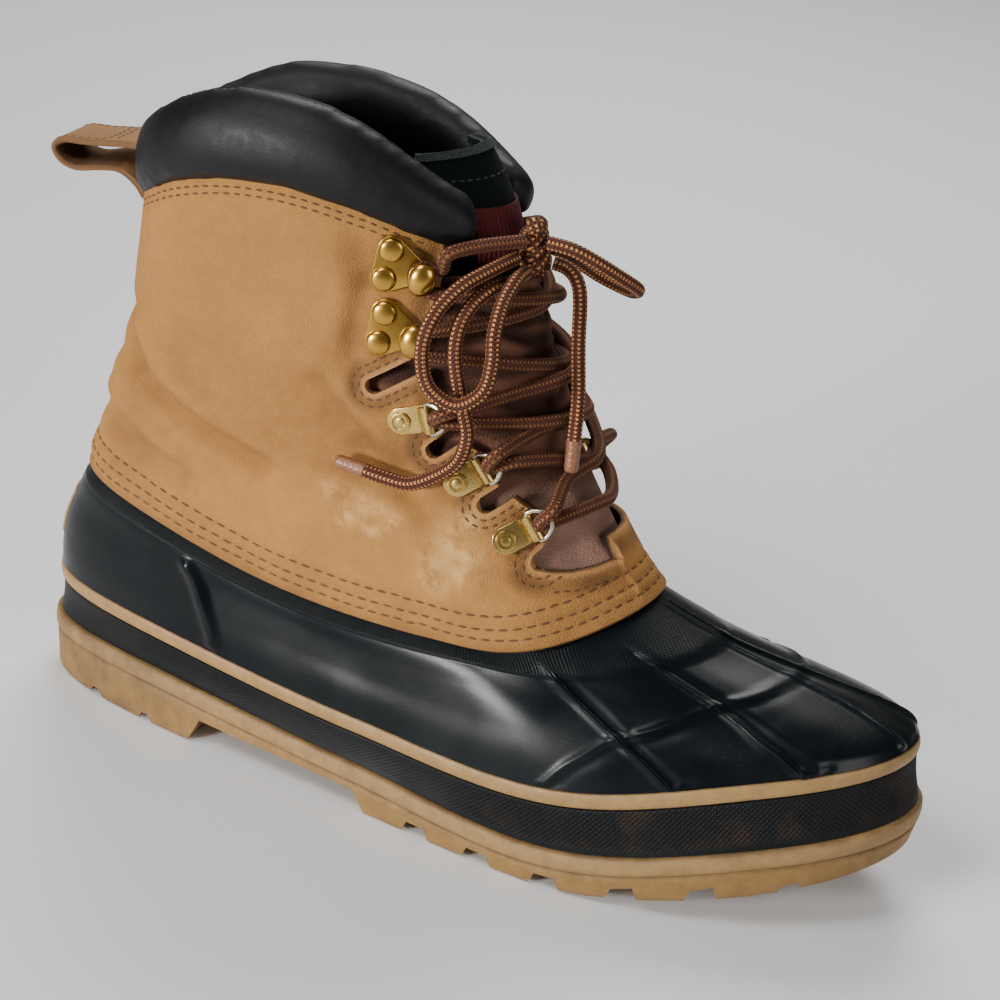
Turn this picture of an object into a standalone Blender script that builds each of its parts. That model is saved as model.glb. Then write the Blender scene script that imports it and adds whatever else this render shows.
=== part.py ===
"""Duck boot for the right foot, at real size.

A moulded rubber galosh on a lugged outsole carries a leather shaft with a padded collar, a bellows
tongue, a pull loop, brass lacing hardware and a tied lace. Lengths are millimetres until a mesh is
written. X runs from heel to toe, Y from the lateral (outer) side to the medial side, Z up.
"""
import math
from dataclasses import dataclass

import bmesh
import bpy
import numpy as np
from mathutils import Matrix, Vector

MM = 0.001
GAP = 0.3                   # clearance between pieces that touch

# Driving sizes of the boot
LENGTH = 305.0              # outsole, heel to toe
BALL_WIDTH = 107.0          # outsole, across the ball
INSTEP = 87.0               # top of the rubber at the instep, above the floor

# Reference last: the tables below are drawn for these sizes and scaled to the driving ones
LAST_LENGTH = 305.0
LAST_BALL_WIDTH = 107.0
LAST_INSTEP = 87.0
SCALE = np.array((LENGTH / LAST_LENGTH, BALL_WIDTH / LAST_BALL_WIDTH, INSTEP / LAST_INSTEP))

ORIGIN = np.array((145.15, -3.22, 0.0))   # centre of the standing boot, in last coordinates
RING = 44                   # points round one level

FOXING = 3.2                # band and stripe, thickness outside the shell's foot
RUBBER = 2.3                # shell wall
LEATHER = 2.2               # shaft wall
SEAM_INSET = 4.9            # foot of the shell, inside the outsole's edge

# Stations along a level, as fractions of its length: back, heel, waist, ball, toe, front
STATIONS = np.array((0.0, 0.15, 0.42, 0.68, 0.88, 1.0))
HEEL_ROUNDNESS = 0.72       # exponent of the end rounding: 1 is an ellipse, 0 is square
TOE_ROUNDNESS = 1.0


@dataclass(frozen=True)
class Level:
    """One closed line round the boot: its ends, its heights and its half widths at the stations."""

    back: float
    front: float
    heights: tuple      # back, heel, waist, ball, toe, front
    lateral: tuple      # heel, waist, ball, toe
    medial: tuple       # heel, waist, ball, toe
    tip: float          # how far the front end lies to the medial side
    drop: float = 0.0   # how much lower the medial side lies half way along


LEVELS = {
    "seam": Level(-3, 302, (21.5, 22, 17, 15, 30, 38),
                  (34, 46.5, 55.5, 41.5), (34, 37, 50, 37), -2),
    "stripe_low": Level(-1.5, 297.5, (34.5, 34, 27, 30.5, 46.5, 54.5),
                        (34, 43.5, 53.5, 38.5), (33.5, 36, 48.5, 34), -2),
    "stripe_high": Level(-2, 297, (40, 39.5, 32.5, 36, 52, 59.5),
                         (34.5, 43.5, 53.5, 38), (33.8, 36, 48.5, 33.5), -2),
    "shell_1": Level(-1.8, 293.5, (49, 47, 40.5, 44.5, 57.5, 63),
                     (34.5, 42, 51.5, 36), (33.5, 35, 46.5, 31), -2),
    "shell_2": Level(-0.5, 283, (58, 55.5, 47.5, 52, 61, 66),
                     (34, 39.8, 48.5, 34), (33, 34, 43, 28.5), -2),
    "shell_3": Level(2.5, 260, (67, 64, 54.5, 58.5, 64.5, 70),
                     (33, 37.8, 45, 34), (32.2, 33.5, 39.5, 27), -1.5),
    "shell_4": Level(5.5, 230, (75, 71.5, 60.5, 63.5, 69, 75),
                     (32.2, 36.5, 41.5, 35.5), (31.5, 33, 36.5, 27.5), -1),
    "hem": Level(7.5, 207.5, (81, 78, 67, 67, 74, 84.5),
                 (31.8, 36, 39.5, 37), (31.2, 33, 35.5, 30), 0),
    "shaft_1": Level(8, 200, (87, 84.5, 73.5, 73.5, 81, 93),
                     (31.8, 35.5, 38, 35), (31.2, 32.8, 35, 30), 0),
    "shaft_2": Level(11, 193, (95, 93.5, 85, 85.5, 93, 103),
                     (32, 35, 36.5, 32), (31.4, 33, 34, 28.5), 0),
    "shaft_3": Level(14.5, 185, (105.5, 105, 100, 101.5, 108, 115),
                     (32.2, 35, 35.5, 30), (31.8, 33.5, 34, 27.5), 0),
    "shaft_4": Level(17, 176.5, (119, 119, 116.5, 118, 123.5, 129),
                     (32.5, 35.5, 35, 28.5), (32.2, 34.5, 34, 27), 0),
    "shaft_5": Level(19, 168, (134, 135, 134.5, 136, 140.5, 145),
                     (33, 36.5, 35, 27.5), (32.8, 36, 34.5, 26.5), 0),
    "shaft_6": Level(20.5, 159, (150, 152.5, 154, 155, 158.5, 162),
                     (33.5, 37.5, 35, 26.5), (33.4, 37.2, 34.8, 26), 0),
    "shaft_7": Level(22.2, 150.5, (165, 170, 174.5, 173.5, 174, 177),
                     (34, 38.5, 35, 25), (34, 38.3, 35, 25), 0, 3),
    "shaft_top": Level(23.2, 146, (178.5, 192, 201.5, 199, 191.5, 188),
                       (34, 39, 35.5, 24.5), (34, 39, 35.5, 24.5), 0, 6),
    "tongue_low": Level(24, 147, (180, 182, 184, 185, 186, 187),
                        (24, 27, 24, 17), (24, 27, 24, 17), 0),
    "tongue_mid": Level(24, 141, (190, 194, 198, 200, 201, 202),
                        (23, 25, 22, 15.5), (23, 25, 22, 15.5), 0),
    "tongue_top": Level(24, 130.5, (203, 206, 209, 211.5, 214, 217),
                        (22, 24, 22, 15.5), (22, 24, 22, 15.5), 0),
}
SHELL = ("shell_1", "shell_2", "shell_3", "shell_4")
SHAFT = ("hem", "shaft_1", "shaft_2", "shaft_3", "shaft_4", "shaft_5", "shaft_6", "shaft_7",
         "shaft_top")
LAP = 0.55                  # how far the rubber reaches up from the hem to shaft_1, under the leather


# ---- the last's own functions ------------------------------------------------------------------

def along(values, s):
    """Smooth curve through six station values, read at the fractions s."""
    values = np.asarray(values, float)
    slope = np.gradient(values, STATIONS)
    cell = np.clip(np.searchsorted(STATIONS, s, side="right") - 1, 0, len(STATIONS) - 2)
    width = STATIONS[cell + 1] - STATIONS[cell]
    t = (s - STATIONS[cell]) / width
    low, high = values[cell], values[cell + 1]
    rise, fall = slope[cell] * width, slope[cell + 1] * width
    return (low * (1 + 2 * t) * (1 - t) ** 2 + high * t * t * (3 - 2 * t)
            + rise * t * (1 - t) ** 2 - fall * t * t * (1 - t))


def end_rounding(s):
    """Share of the full width that a level has at the fractions s: none at its ends."""
    power = HEEL_ROUNDNESS + (TOE_ROUNDNESS - HEEL_ROUNDNESS) * s
    return (2 * np.sqrt(np.clip(s * (1 - s), 0, 1))) ** power


def half_width(widths, s):
    """Half width of a level at the fractions s, rounded off at both ends."""
    full = np.asarray(widths) / end_rounding(STATIONS[1:-1])
    full = np.concatenate((full[:1], full, full[-1:]))
    return along(full, s) * end_rounding(s)


def fraction(angle):
    """How far along a level an angle round it lies: 0 at the back, 1 at the front."""
    return (1 - np.cos(angle)) / 2


def smooth_step(t):
    t = np.clip(t, 0, 1)
    return t * t * (3 - 2 * t)


def level_at(name, angle):
    """Points of a level at angles from the back (0) by the lateral side to the front (pi)."""
    level = LEVELS[name]
    angle = np.asarray(angle, float) % (2 * math.pi)
    s = fraction(angle)
    centre = level.tip * smooth_step((s - 0.55) / 0.45)
    lateral = centre - half_width(level.lateral, s)
    medial = centre + half_width(level.medial, s)
    x = level.back + (level.front - level.back) * s
    on_lateral = angle <= math.pi
    y = np.where(on_lateral, lateral, medial)
    z = along(level.heights, s) + np.where(on_lateral, 0, level.drop * np.sin(angle))
    return np.stack((x, y, z), axis=-1) * SCALE


def ring(name):
    return level_at(name, np.arange(RING) * 2 * math.pi / RING)


def rings(names):
    return np.array([ring(name) for name in names])


def plan_normals(loop):
    """Outward normals of a loop in plan."""
    ahead = np.roll(loop, -1, axis=0) - np.roll(loop, 1, axis=0)
    normal = np.stack((ahead[:, 1], -ahead[:, 0], np.zeros(len(loop))), axis=1)
    return normal / np.linalg.norm(normal, axis=1, keepdims=True)


def inset(loop, distance, lift=0.0):
    """A loop moved inwards in plan, and raised."""
    return loop - plan_normals(loop) * distance + np.array((0, 0, lift))


def surface_normals(rows, closed=True):
    """Outward normals of the surface through a stack of rows, which are loops or open strips."""
    if closed:
        ahead = np.roll(rows, -1, axis=1) - np.roll(rows, 1, axis=1)
    else:
        ahead = np.gradient(rows, axis=1)
    normal = np.cross(ahead, np.gradient(rows, axis=0))
    return normal / np.linalg.norm(normal, axis=2, keepdims=True)


def inside(loops, distance):
    """A stack of loops moved inwards along the surface normals."""
    return loops - surface_normals(loops) * distance


def wall(angle, z):
    """Point of the leather's outside at an angle round the boot and a height."""
    column = np.array([level_at(name, angle) for name in SHAFT])
    return np.array([np.interp(z, column[:, 2], column[:, axis]) for axis in range(3)])


def wall_angle(side, x, z):
    """Angle at which the wall passes a distance from the heel: side -1 is lateral, 1 medial."""
    angles = np.linspace(0.3, math.pi, 60)
    found = float(np.interp(x, [wall(angle, z)[0] for angle in angles], angles))
    return found if side < 0 else 2 * math.pi - found


def wall_normal(angle, z):
    """Outward normal of the leather there."""
    ahead = wall(angle + 0.02, z) - wall(angle - 0.02, z)
    normal = np.cross(ahead, wall(angle, z + 1) - wall(angle, z - 1))
    return normal / np.linalg.norm(normal)


def wall_frame(side, x, z, tilt):
    """Matrix of a flat fitting laid on the leather: X along it at a tilt, Z outwards."""
    angle = wall_angle(side, x, z)
    point, normal = wall(angle, z), wall_normal(angle, z)
    nearby = [wall(angle - side * turn, z + rise)
              for turn in (-0.08, 0.08, 0.16) for rise in (-8, -4, 0, 4, 8)]
    lift = 1.5 * GAP + max(0, *((place - point) @ normal for place in nearby))
    normal = Vector(normal)
    along_x = Vector((math.cos(tilt), 0, math.sin(tilt)))
    along_x = (along_x - normal * along_x.dot(normal)).normalized()
    across = normal.cross(along_x)
    turn = Matrix((along_x, across, normal)).transposed().to_4x4()
    return Matrix.Translation(Vector(point) + normal * lift) @ turn


def smooth_route(route, spacing):
    """Points about a spacing apart on a Catmull-Rom curve through the route's own points."""
    route = np.asarray(route, float)
    ends = np.vstack((2 * route[0] - route[1], route, 2 * route[-1] - route[-2]))
    dense = []
    for a, b, c, d in zip(ends, ends[1:], ends[2:], ends[3:]):
        for t in np.arange(0, 1, 0.05):
            dense.append(0.5 * (2 * b + (c - a) * t + (2 * a - 5 * b + 4 * c - d) * t * t
                                + (3 * b - a - 3 * c + d) * t ** 3))
    dense = np.vstack((dense, route[-1]))
    lengths = np.concatenate(((0,), np.cumsum(np.linalg.norm(np.diff(dense, axis=0), axis=1))))
    marks = np.linspace(0, lengths[-1], max(2, round(lengths[-1] / spacing)) + 1)
    return np.stack([np.interp(marks, lengths, column) for column in dense.T], axis=1)


# ---- meshes ------------------------------------------------------------------------------------

def material(name, colour, roughness, metallic=0.0):
    made = bpy.data.materials.new(name)
    made.use_nodes = True
    shader = made.node_tree.nodes["Principled BSDF"]
    shader.inputs["Base Color"].default_value = (*colour, 1.0)
    shader.inputs["Roughness"].default_value = roughness
    shader.inputs["Metallic"].default_value = metallic
    return made


def finish(name, bm, look, frame=None, sharp=40.0):
    """Make an object from a bmesh in millimetres, drawn in a frame of the boot."""
    if frame is not None:
        bmesh.ops.transform(bm, matrix=frame, verts=bm.verts)
    bmesh.ops.recalc_face_normals(bm, faces=bm.faces)
    bmesh.ops.translate(bm, verts=bm.verts, vec=Vector(-ORIGIN))
    bmesh.ops.scale(bm, verts=bm.verts, vec=(MM, MM, MM))
    mesh = bpy.data.meshes.new(name)
    bm.to_mesh(mesh)
    bm.free()
    mesh.shade_smooth()
    mesh.set_sharp_from_angle(angle=math.radians(sharp))
    mesh.materials.append(look)
    made = bpy.data.objects.new(name, mesh)
    bpy.context.scene.collection.objects.link(made)
    return made


def skin(bm, loops, closed=True):
    """Quads between neighbouring loops; closed joins the last loop to the first."""
    rows = [[bm.verts.new(point) for point in loop] for loop in loops]
    count = len(rows[0])
    last = len(rows) if closed else len(rows) - 1
    for i in range(last):
        low, high = rows[i], rows[(i + 1) % len(rows)]
        for j in range(count):
            k = (j + 1) % count
            bm.faces.new((low[j], low[k], high[k], high[j]))
    return rows


def sweep(bm, sections):
    """A closed bar through sections, with a flat cap at each end."""
    rows = skin(bm, sections, closed=False)
    bm.faces.new(rows[0])
    bm.faces.new(rows[-1])


def lid(bm, row):
    """Close a level's loop with strips from its lateral to its medial side."""
    count = len(row)
    for j in range(count // 2):
        a, b = row[j], row[j + 1]
        c, d = row[count - j - 1], row[(count - j) % count]
        bm.faces.new(tuple(dict.fromkeys((a, b, c, d))))


def tube_sections(path, radius, sides):
    """Rings of points round a path, without twist."""
    ahead = np.gradient(path, axis=0)
    ahead /= np.linalg.norm(ahead, axis=1, keepdims=True)
    across = np.cross(ahead[0], (0.0, 0.0, 1.0))
    turns = np.arange(sides) * 2 * math.pi / sides
    sections = []
    for point, way in zip(path, ahead):
        across = across - way * across.dot(way)
        across /= np.linalg.norm(across)
        up = np.cross(way, across)
        sections.append([point + radius * (math.cos(t) * across + math.sin(t) * up) for t in turns])
    return sections


def combine(target, extra, operation="DIFFERENCE"):
    """Take a cutter's volume out of a target, or join a piece to it."""
    extra.hide_render = True
    extra.display_type = "WIRE"
    modifier = target.modifiers.new(operation.lower(), "BOOLEAN")
    modifier.operation = operation
    modifier.solver = "EXACT"
    modifier.object = extra


PLANES = {                  # an outline's two numbers and its depth, as X, Y and Z
    "X": lambda p, depth: (depth, p[0], p[1]),
    "Y": lambda p, depth: (p[0], depth, p[1]),
    "Z": lambda p, depth: (p[0], p[1], depth),
}


def prism(name, outline, axis, low, high, look, frame=None):
    """A closed outline drawn across an axis and extruded along it."""
    bm = bmesh.new()
    face = bm.faces.new([bm.verts.new(PLANES[axis](p, low)) for p in outline])
    extruded = bmesh.ops.extrude_face_region(bm, geom=[face])
    moved = [v for v in extruded["geom"] if isinstance(v, bmesh.types.BMVert)]
    bmesh.ops.translate(bm, verts=moved, vec=PLANES[axis]((0, 0), high - low))
    return finish(name, bm, look, frame)


def dome(name, centre, half_axes, look, frame, segments=8):
    """An ellipsoid."""
    bm = bmesh.new()
    bmesh.ops.create_uvsphere(bm, u_segments=segments, v_segments=segments // 2, radius=1.0)
    bmesh.ops.scale(bm, vec=half_axes, verts=bm.verts)
    bmesh.ops.translate(bm, vec=centre, verts=bm.verts)
    return finish(name, bm, look, frame)


def arc(centre, radius, start, stop, steps):
    """Points of an arc, in degrees."""
    turns = np.radians(np.linspace(start, stop, steps + 1))
    return [(centre[0] + radius * math.cos(t), centre[1] + radius * math.sin(t)) for t in turns]


# ---- outsole and insole ------------------------------------------------------------------------

SPRING_START = 200.0        # where the toe begins to rise
TOE_SPRING = 25.0           # rise of the tread at the toe
SPRING_POWER = 1.35
BEAD = 6.5                  # height of the plain strip along the outsole's top edge
INSOLE = 4.0
GROOVES = (                 # hollows in the tread: from, to, depth at each end, slant of the walls
    (21.0, 26.5, 2.0, 2.0, 1.5),
    (43.0, 48.5, 2.0, 2.0, 1.5),
    (63.0, 133.0, 10.0, 8.0, 5.0),      # the arch, from the heel's breast to the first lug
    (147.0, 157.0, 3.4, 3.4, 2.2),
    (169.5, 180.0, 3.4, 3.4, 2.2),
    (194.0, 203.0, 3.4, 3.4, 2.2),
    (219.0, 228.0, 3.4, 3.4, 2.2),
    (243.0, 252.0, 3.4, 3.4, 2.2),
    (270.0, 274.0, 1.6, 1.6, 1.2),
)


def tread(x):
    """Height of the tread above the floor at a distance from the heel."""
    rise = max(0.0, x / SCALE[0] - SPRING_START) / (LAST_LENGTH - SPRING_START)
    return TOE_SPRING * rise ** SPRING_POWER


def tread_cutter(look):
    """The space under the sole, reaching up between the lugs."""
    below, back, front, deep = -1.0, -20.0, 320.0, -30.0
    points = [(back, below)]
    for start, stop, first, last, slant in GROOVES:
        floor_a, floor_b = tread(start), tread(stop)
        points += [(start, floor_a + below), (start + slant, floor_a + first),
                   (stop - slant, floor_b + last), (stop, floor_b + below)]
    points += [(front, tread(front) + below), (front, deep), (back, deep)]
    return prism("tread_cutter", points, "Y", -90.0, 90.0, look)


def outsole(look):
    top = ring("seam")
    bottom = inset(top, 1.8)
    bottom[:, 2] = [tread(x) for x in top[:, 0]]
    shoulder = inset(top, 0.6, lift=-BEAD)
    bm = bmesh.new()
    rows = skin(bm, [bottom, shoulder, inset(top, -0.3, lift=-BEAD * 0.5), top], closed=False)
    lid(bm, rows[0])
    lid(bm, rows[-1])
    sole = finish("outsole", bm, look)
    combine(sole, tread_cutter(look))


def insole(look):
    """The footbed, which lies on the outsole inside the foot of the rubber."""
    seam = ring("seam")
    low = inset(seam, SEAM_INSET + RUBBER + 1.5)
    half = RING // 2 + 1
    low[:, 2] = np.interp(low[:, 0], seam[:half, 0], seam[:half, 2]) + GAP
    bm = bmesh.new()
    rows = skin(bm, [low, low + np.array((0, 0, INSOLE))], closed=False)
    lid(bm, rows[0])
    lid(bm, rows[-1])
    finish("insole", bm, look)


# ---- foxing and rubber shell -------------------------------------------------------------------

def foxing_band(look):
    low = inset(ring("seam"), 1.4, lift=GAP)
    high = inset(ring("stripe_low"), 0.4, lift=-GAP / 2)
    middle = inset((low + high) / 2, 0.5)
    bm = bmesh.new()
    skin(bm, [low, middle, high, inset(high, FOXING - 0.4), inset(low, FOXING - 0.4)])
    finish("foxing_band", bm, look)


def foxing_stripe(look):
    low = inset(ring("stripe_low"), 0.0, lift=GAP / 2)
    high = ring("stripe_high")
    middle = inset((low + high) / 2, -0.6)
    bm = bmesh.new()
    skin(bm, [low, middle, high, inset(high, FOXING), inset(low, FOXING)])
    finish("foxing_stripe", bm, look)


def rubber_shell(look):
    """The moulded galosh, from its foot behind the foxing to its lap under the leather."""
    seam, high = ring("seam"), ring("stripe_high")
    behind = FOXING + GAP
    foot = [inset(seam, SEAM_INSET, lift=GAP), inset(ring("stripe_low"), behind + 0.1),
            inset(high, behind, lift=GAP)]
    ledge = inset(high, 0.2, lift=GAP)
    lap = inside(rings(SHAFT[:3]), LEATHER + GAP)
    side = [*rings(SHELL), lap[0], lap[0] + (lap[1] - lap[0]) * LAP]
    inner_side = inside(np.array(side), RUBBER)
    inner_foot = [inset(loop, RUBBER) for loop in foot]
    bm = bmesh.new()
    skin(bm, [*foot, ledge, *side, *inner_side[::-1], *inner_foot[::-1]])
    finish("rubber_shell", bm, look)


# ---- leather shaft -----------------------------------------------------------------------------

THROAT = (                  # front opening of the leather from the side: distance from heel, height
    (215, 99), (203, 98.5), (190, 94.5), (181, 92), (176.5, 93.5), (175, 98), (173.5, 110),
    (166, 114.5), (156, 121.5), (154.5, 127.5), (147, 131.5), (138, 136.5), (136.5, 143),
    (132, 151), (130.5, 160), (130.5, 240), (215, 240),
)
NOTCHES = (                 # slots between the lacing tabs: closed end, height, slope, radius, length
    (116.5, 144.0, 37.0, 2.6, 20.0),
    (138.0, 127.5, 45.0, 2.6, 12.0),
    (156.5, 113.5, 42.0, 2.8, 14.0),
    (175.5, 97.5, 50.0, 3.2, 10.0),
)
ACROSS = 60.0               # half width of a cutter that passes both sides of the shaft


def notch_outline(x, z, slope, radius, length):
    """A slot with a round closed end."""
    points = arc((0, 0), radius, 90, 270, 6) + [(length, -radius), (length, radius)]
    c, s = math.cos(math.radians(slope)), math.sin(math.radians(slope))
    return [(x + c * u - s * v, z + s * u + c * v) for u, v in points]


def leather_shaft(look):
    outer = rings(SHAFT)
    bm = bmesh.new()
    skin(bm, [*outer, *inside(outer, LEATHER)[::-1]])
    shaft = finish("leather_shaft", bm, look)
    combine(shaft, prism("throat_cutter", THROAT, "Y", -ACROSS, ACROSS, look))
    for number, notch in enumerate(NOTCHES, 1):
        outline = notch_outline(*notch)
        combine(shaft, prism(f"notch_cutter_{number}", outline, "Y", -ACROSS, ACROSS, look))


# ---- tongue ------------------------------------------------------------------------------------

TONGUE = 2.4
TONGUE_COLUMNS = 13
TONGUE_ROWS = (   # level below, level above, share of the way, half span, depth at side and middle
    ("hem", "shaft_1", 0.75, 0.85, 2.6, 2.8),
    ("hem", "shaft_1", 1.00, 0.88, 2.6, 3.0),
    ("shaft_1", "shaft_2", 0.60, 0.92, 2.6, 3.8),
    ("shaft_1", "shaft_2", 1.00, 0.95, 2.6, 4.6),
    ("shaft_2", "shaft_3", 1.00, 1.10, 2.6, 5.2),
    ("shaft_3", "shaft_4", 1.00, 1.27, 2.6, 4.2),
    ("shaft_4", "shaft_5", 1.00, 1.40, 2.6, 2.6),
    ("shaft_5", "shaft_6", 1.00, 1.25, 2.6, 0.5),
    ("shaft_6", "shaft_7", 1.00, 1.00, 2.6, -1.2),
    ("tongue_low", "tongue_mid", 0.00, 0.90, 0.0, 0.0),
    ("tongue_low", "tongue_mid", 1.00, 0.90, 0.0, 0.0),
    ("tongue_mid", "tongue_top", 0.50, 0.90, 0.0, 0.0),
    ("tongue_mid", "tongue_top", 1.00, 0.78, 0.0, 0.0),
)


def tongue(look):
    """The bellows tongue: it closes the throat and the notches from inside, and ends free."""
    rows, depths = [], []
    for low, high, share, span, side_depth, middle_depth in TONGUE_ROWS:
        offsets = np.linspace(-span, span, TONGUE_COLUMNS)
        low_row, high_row = (level_at(name, math.pi + offsets) for name in (low, high))
        rows.append(low_row + (high_row - low_row) * share)
        side = smooth_step((np.abs(offsets) - 0.15) / 0.4)
        depths.append(middle_depth + (side_depth - middle_depth) * side)
    rows, depths = np.array(rows), np.array(depths)[..., None]
    normals = surface_normals(rows, closed=False)
    outer = rows - normals * depths
    sections = [[*front, *back[::-1]] for front, back in zip(outer, outer - normals * TONGUE)]
    bm = bmesh.new()
    sweep(bm, sections)
    finish("tongue", bm, look)


# ---- padded collar -----------------------------------------------------------------------------

COLLAR_END = 2.56           # angle of the collar's front ends
COLLAR_STEPS = 30
COLLAR_HEIGHTS = {"lateral": (27, 28, 26.5, 21, 12, 8), "medial": (27, 25.5, 22, 19, 14, 11)}
COLLAR_BULGE = {            # share of the section's width, outwards
    "lateral": (0.5, 0.8, 1, 1, 0.7, 0.5), "medial": (0.5, 0.8, 1, 1.1, 1.1, 1),
}
COLLAR_DEPTH = (1, 1, 1, 0.9, 0.6, 0.4)             # and inwards
COLLAR_SECTION = (          # outwards from the leather's top edge, share of the height
    (0, 0.012), (4.5, 0.16), (6.5, 0.39), (5.5, 0.67), (1.5, 0.90), (-4, 1.0), (-9, 0.86),
    (-11.5, 0.55), (-11, 0.24), (-8, 0.012),
)


def padded_collar(look):
    angles = np.linspace(-COLLAR_END, COLLAR_END, COLLAR_STEPS + 1)
    edge = level_at("shaft_top", angles)
    ahead = np.gradient(edge, axis=0)
    out = np.stack((ahead[:, 1], -ahead[:, 0], np.zeros(len(edge))), axis=1)
    out /= np.linalg.norm(out, axis=1, keepdims=True)
    s = fraction(angles)
    on_lateral = angles > 0
    heights, bulges = (np.where(on_lateral, along(table["lateral"], s), along(table["medial"], s))
                       for table in (COLLAR_HEIGHTS, COLLAR_BULGE))
    depths = along(COLLAR_DEPTH, s)
    sections = []
    for point, normal, height, bulge, depth in zip(edge, out, heights, bulges, depths):
        sections.append([point + normal * n * (bulge if n > 0 else depth)
                         + np.array((0, 0, GAP + u * height)) for n, u in COLLAR_SECTION])
    for end, way in ((0, -1), (-1, 1)):
        centre = np.mean(sections[end], axis=0)
        tip = ahead[end] / np.linalg.norm(ahead[end]) * way * 1.8
        closing = [centre + (point - centre) * 0.6 + tip for point in sections[end]]
        sections.insert(0 if way < 0 else len(sections), closing)
    bm = bmesh.new()
    sweep(bm, sections)
    finish("padded_collar", bm, look, sharp=60.0)


# ---- pull loop ---------------------------------------------------------------------------------

STRAP = 2.2
STRAP_WIDTH = 21.5
LOOP_ROUTE = (              # the strap's middle from the side: distance from heel, height
    (22.0, 175.8), (18.5, 179.8), (12.5, 182.6), (5, 181.4), (-3, 179.2), (-8.8, 180.2), (-11.8, 184),
    (-8.5, 187), (-1, 188), (8, 189.6), (14.0, 190.8), (18.6, 191.2),
)


def pull_loop(look):
    path = smooth_route(LOOP_ROUTE, 5.0)
    ahead = np.gradient(path, axis=0)
    ahead /= np.linalg.norm(ahead, axis=1, keepdims=True)
    across = np.stack((-ahead[:, 1], ahead[:, 0]), axis=1) * STRAP / 2
    outline = [*(path + across), *(path - across)[::-1]]
    prism("pull_loop", outline, "Y", -STRAP_WIDTH / 2, STRAP_WIDTH / 2, look)


# ---- lacing hardware ---------------------------------------------------------------------------

SHEET = 1.1                 # brass sheet
HOOKS = {"upper": (116.5, 184.0, -8.0), "lower": (117.2, 163.8, -4.0)}      # x, z, tilt
CLIPS = {"upper": (127.0, 135.2, 20.0), "middle": (147.0, 119.2, 40.0),
         "lower": (164.2, 103.4, 38.0)}
SIDES = {"lateral": -1, "medial": 1}
HOOK_DROP = {"lateral": 0.0, "medial": 5.0}          # the medial side's hooks lie lower
CLIP_BACK = {"lateral": 0.0, "medial": 4.0}          # and its clips farther back
RIVETS_APART = 9.6
HOOK_REACH = 11.0           # from the rivets to the hook's stem
CLIP_WIDTH = 8.8
CLIP_REACH = 9.6            # from the rivet to the fold
FOLD = 2.0                  # radius of the rolled end that holds the ring
FOLD_MIDDLE = 2.2           # its middle, above the leather side of the sheet
RING_WIRE = 0.85
RING_REACH = 6.0


def speed_hook(name, frame, look):
    half = RIVETS_APART / 2
    outline = (arc((HOOK_REACH - 1.5, 0), 3.4, -62, 62, 4) + arc((0, half), 4.5, 62, 180, 5)
               + arc((0, -half), 4.5, 180, 298, 5))
    hook = prism(name, outline, "Z", 0.0, SHEET, look, frame)
    for sign in (-1, 1):
        rivet = dome(f"{name}_rivet", (0, sign * half, SHEET + 0.3), (3.8, 3.8, 1.3), look, frame)
        combine(hook, rivet, "UNION")
    stem = prism(f"{name}_stem", arc((HOOK_REACH, 0), 2.3, 0, 315, 7), "Z", 0.4, 6.0, look, frame)
    combine(hook, stem, "UNION")
    head = dome(f"{name}_head", (HOOK_REACH, 0, 6.0), (4.1, 5.2, 2.5), look, frame)
    combine(hook, head, "UNION")


def d_ring(name, frame, look):
    """Round wire: a straight bar inside the fold and a bow ahead of it."""
    bow = [(CLIP_REACH + RING_REACH * math.cos(t), 5.0 * math.sin(t), FOLD_MIDDLE)
           for t in np.radians(np.linspace(-75, 75, 6))]
    path = [(CLIP_REACH, y, FOLD_MIDDLE) for y in (-3.0, -4.9)] + bow
    path += [(CLIP_REACH, y, FOLD_MIDDLE) for y in (4.9, 3.0)]
    bm = bmesh.new()
    sweep(bm, tube_sections(np.array(path), RING_WIRE, 6))
    return finish(name, bm, look, frame)


def lace_clip(name, frame, look):
    half = CLIP_WIDTH / 2
    outline = arc((0, 0), half, 90, 270, 8) + [(CLIP_REACH, -half), (CLIP_REACH, half)]
    clip = prism(name, outline, "Z", 0.0, SHEET, look, frame)
    fold = arc((CLIP_REACH, FOLD_MIDDLE), FOLD, 22.5, 337.5, 7)
    roll = prism(f"{name}_fold", fold, "Y", 0.2 - half, half - 0.2, look, frame)
    combine(clip, roll, "UNION")
    combine(clip, dome(f"{name}_rivet", (0, 0, SHEET + 0.3), (3.2, 3.2, 1.3), look, frame), "UNION")
    combine(clip, d_ring(f"{name}_ring", frame, look), "UNION")


def hardware(look):
    for side, sign in SIDES.items():
        for place, (x, z, tilt) in HOOKS.items():
            frame = wall_frame(sign, x, z - HOOK_DROP[side], math.radians(tilt))
            speed_hook(f"hook_{side}_{place}", frame, look)
        for place, (x, z, tilt) in CLIPS.items():
            frame = wall_frame(sign, x - CLIP_BACK[side], z, math.radians(tilt))
            lace_clip(f"clip_{side}_{place}", frame, look)


# ---- lace --------------------------------------------------------------------------------------

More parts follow.
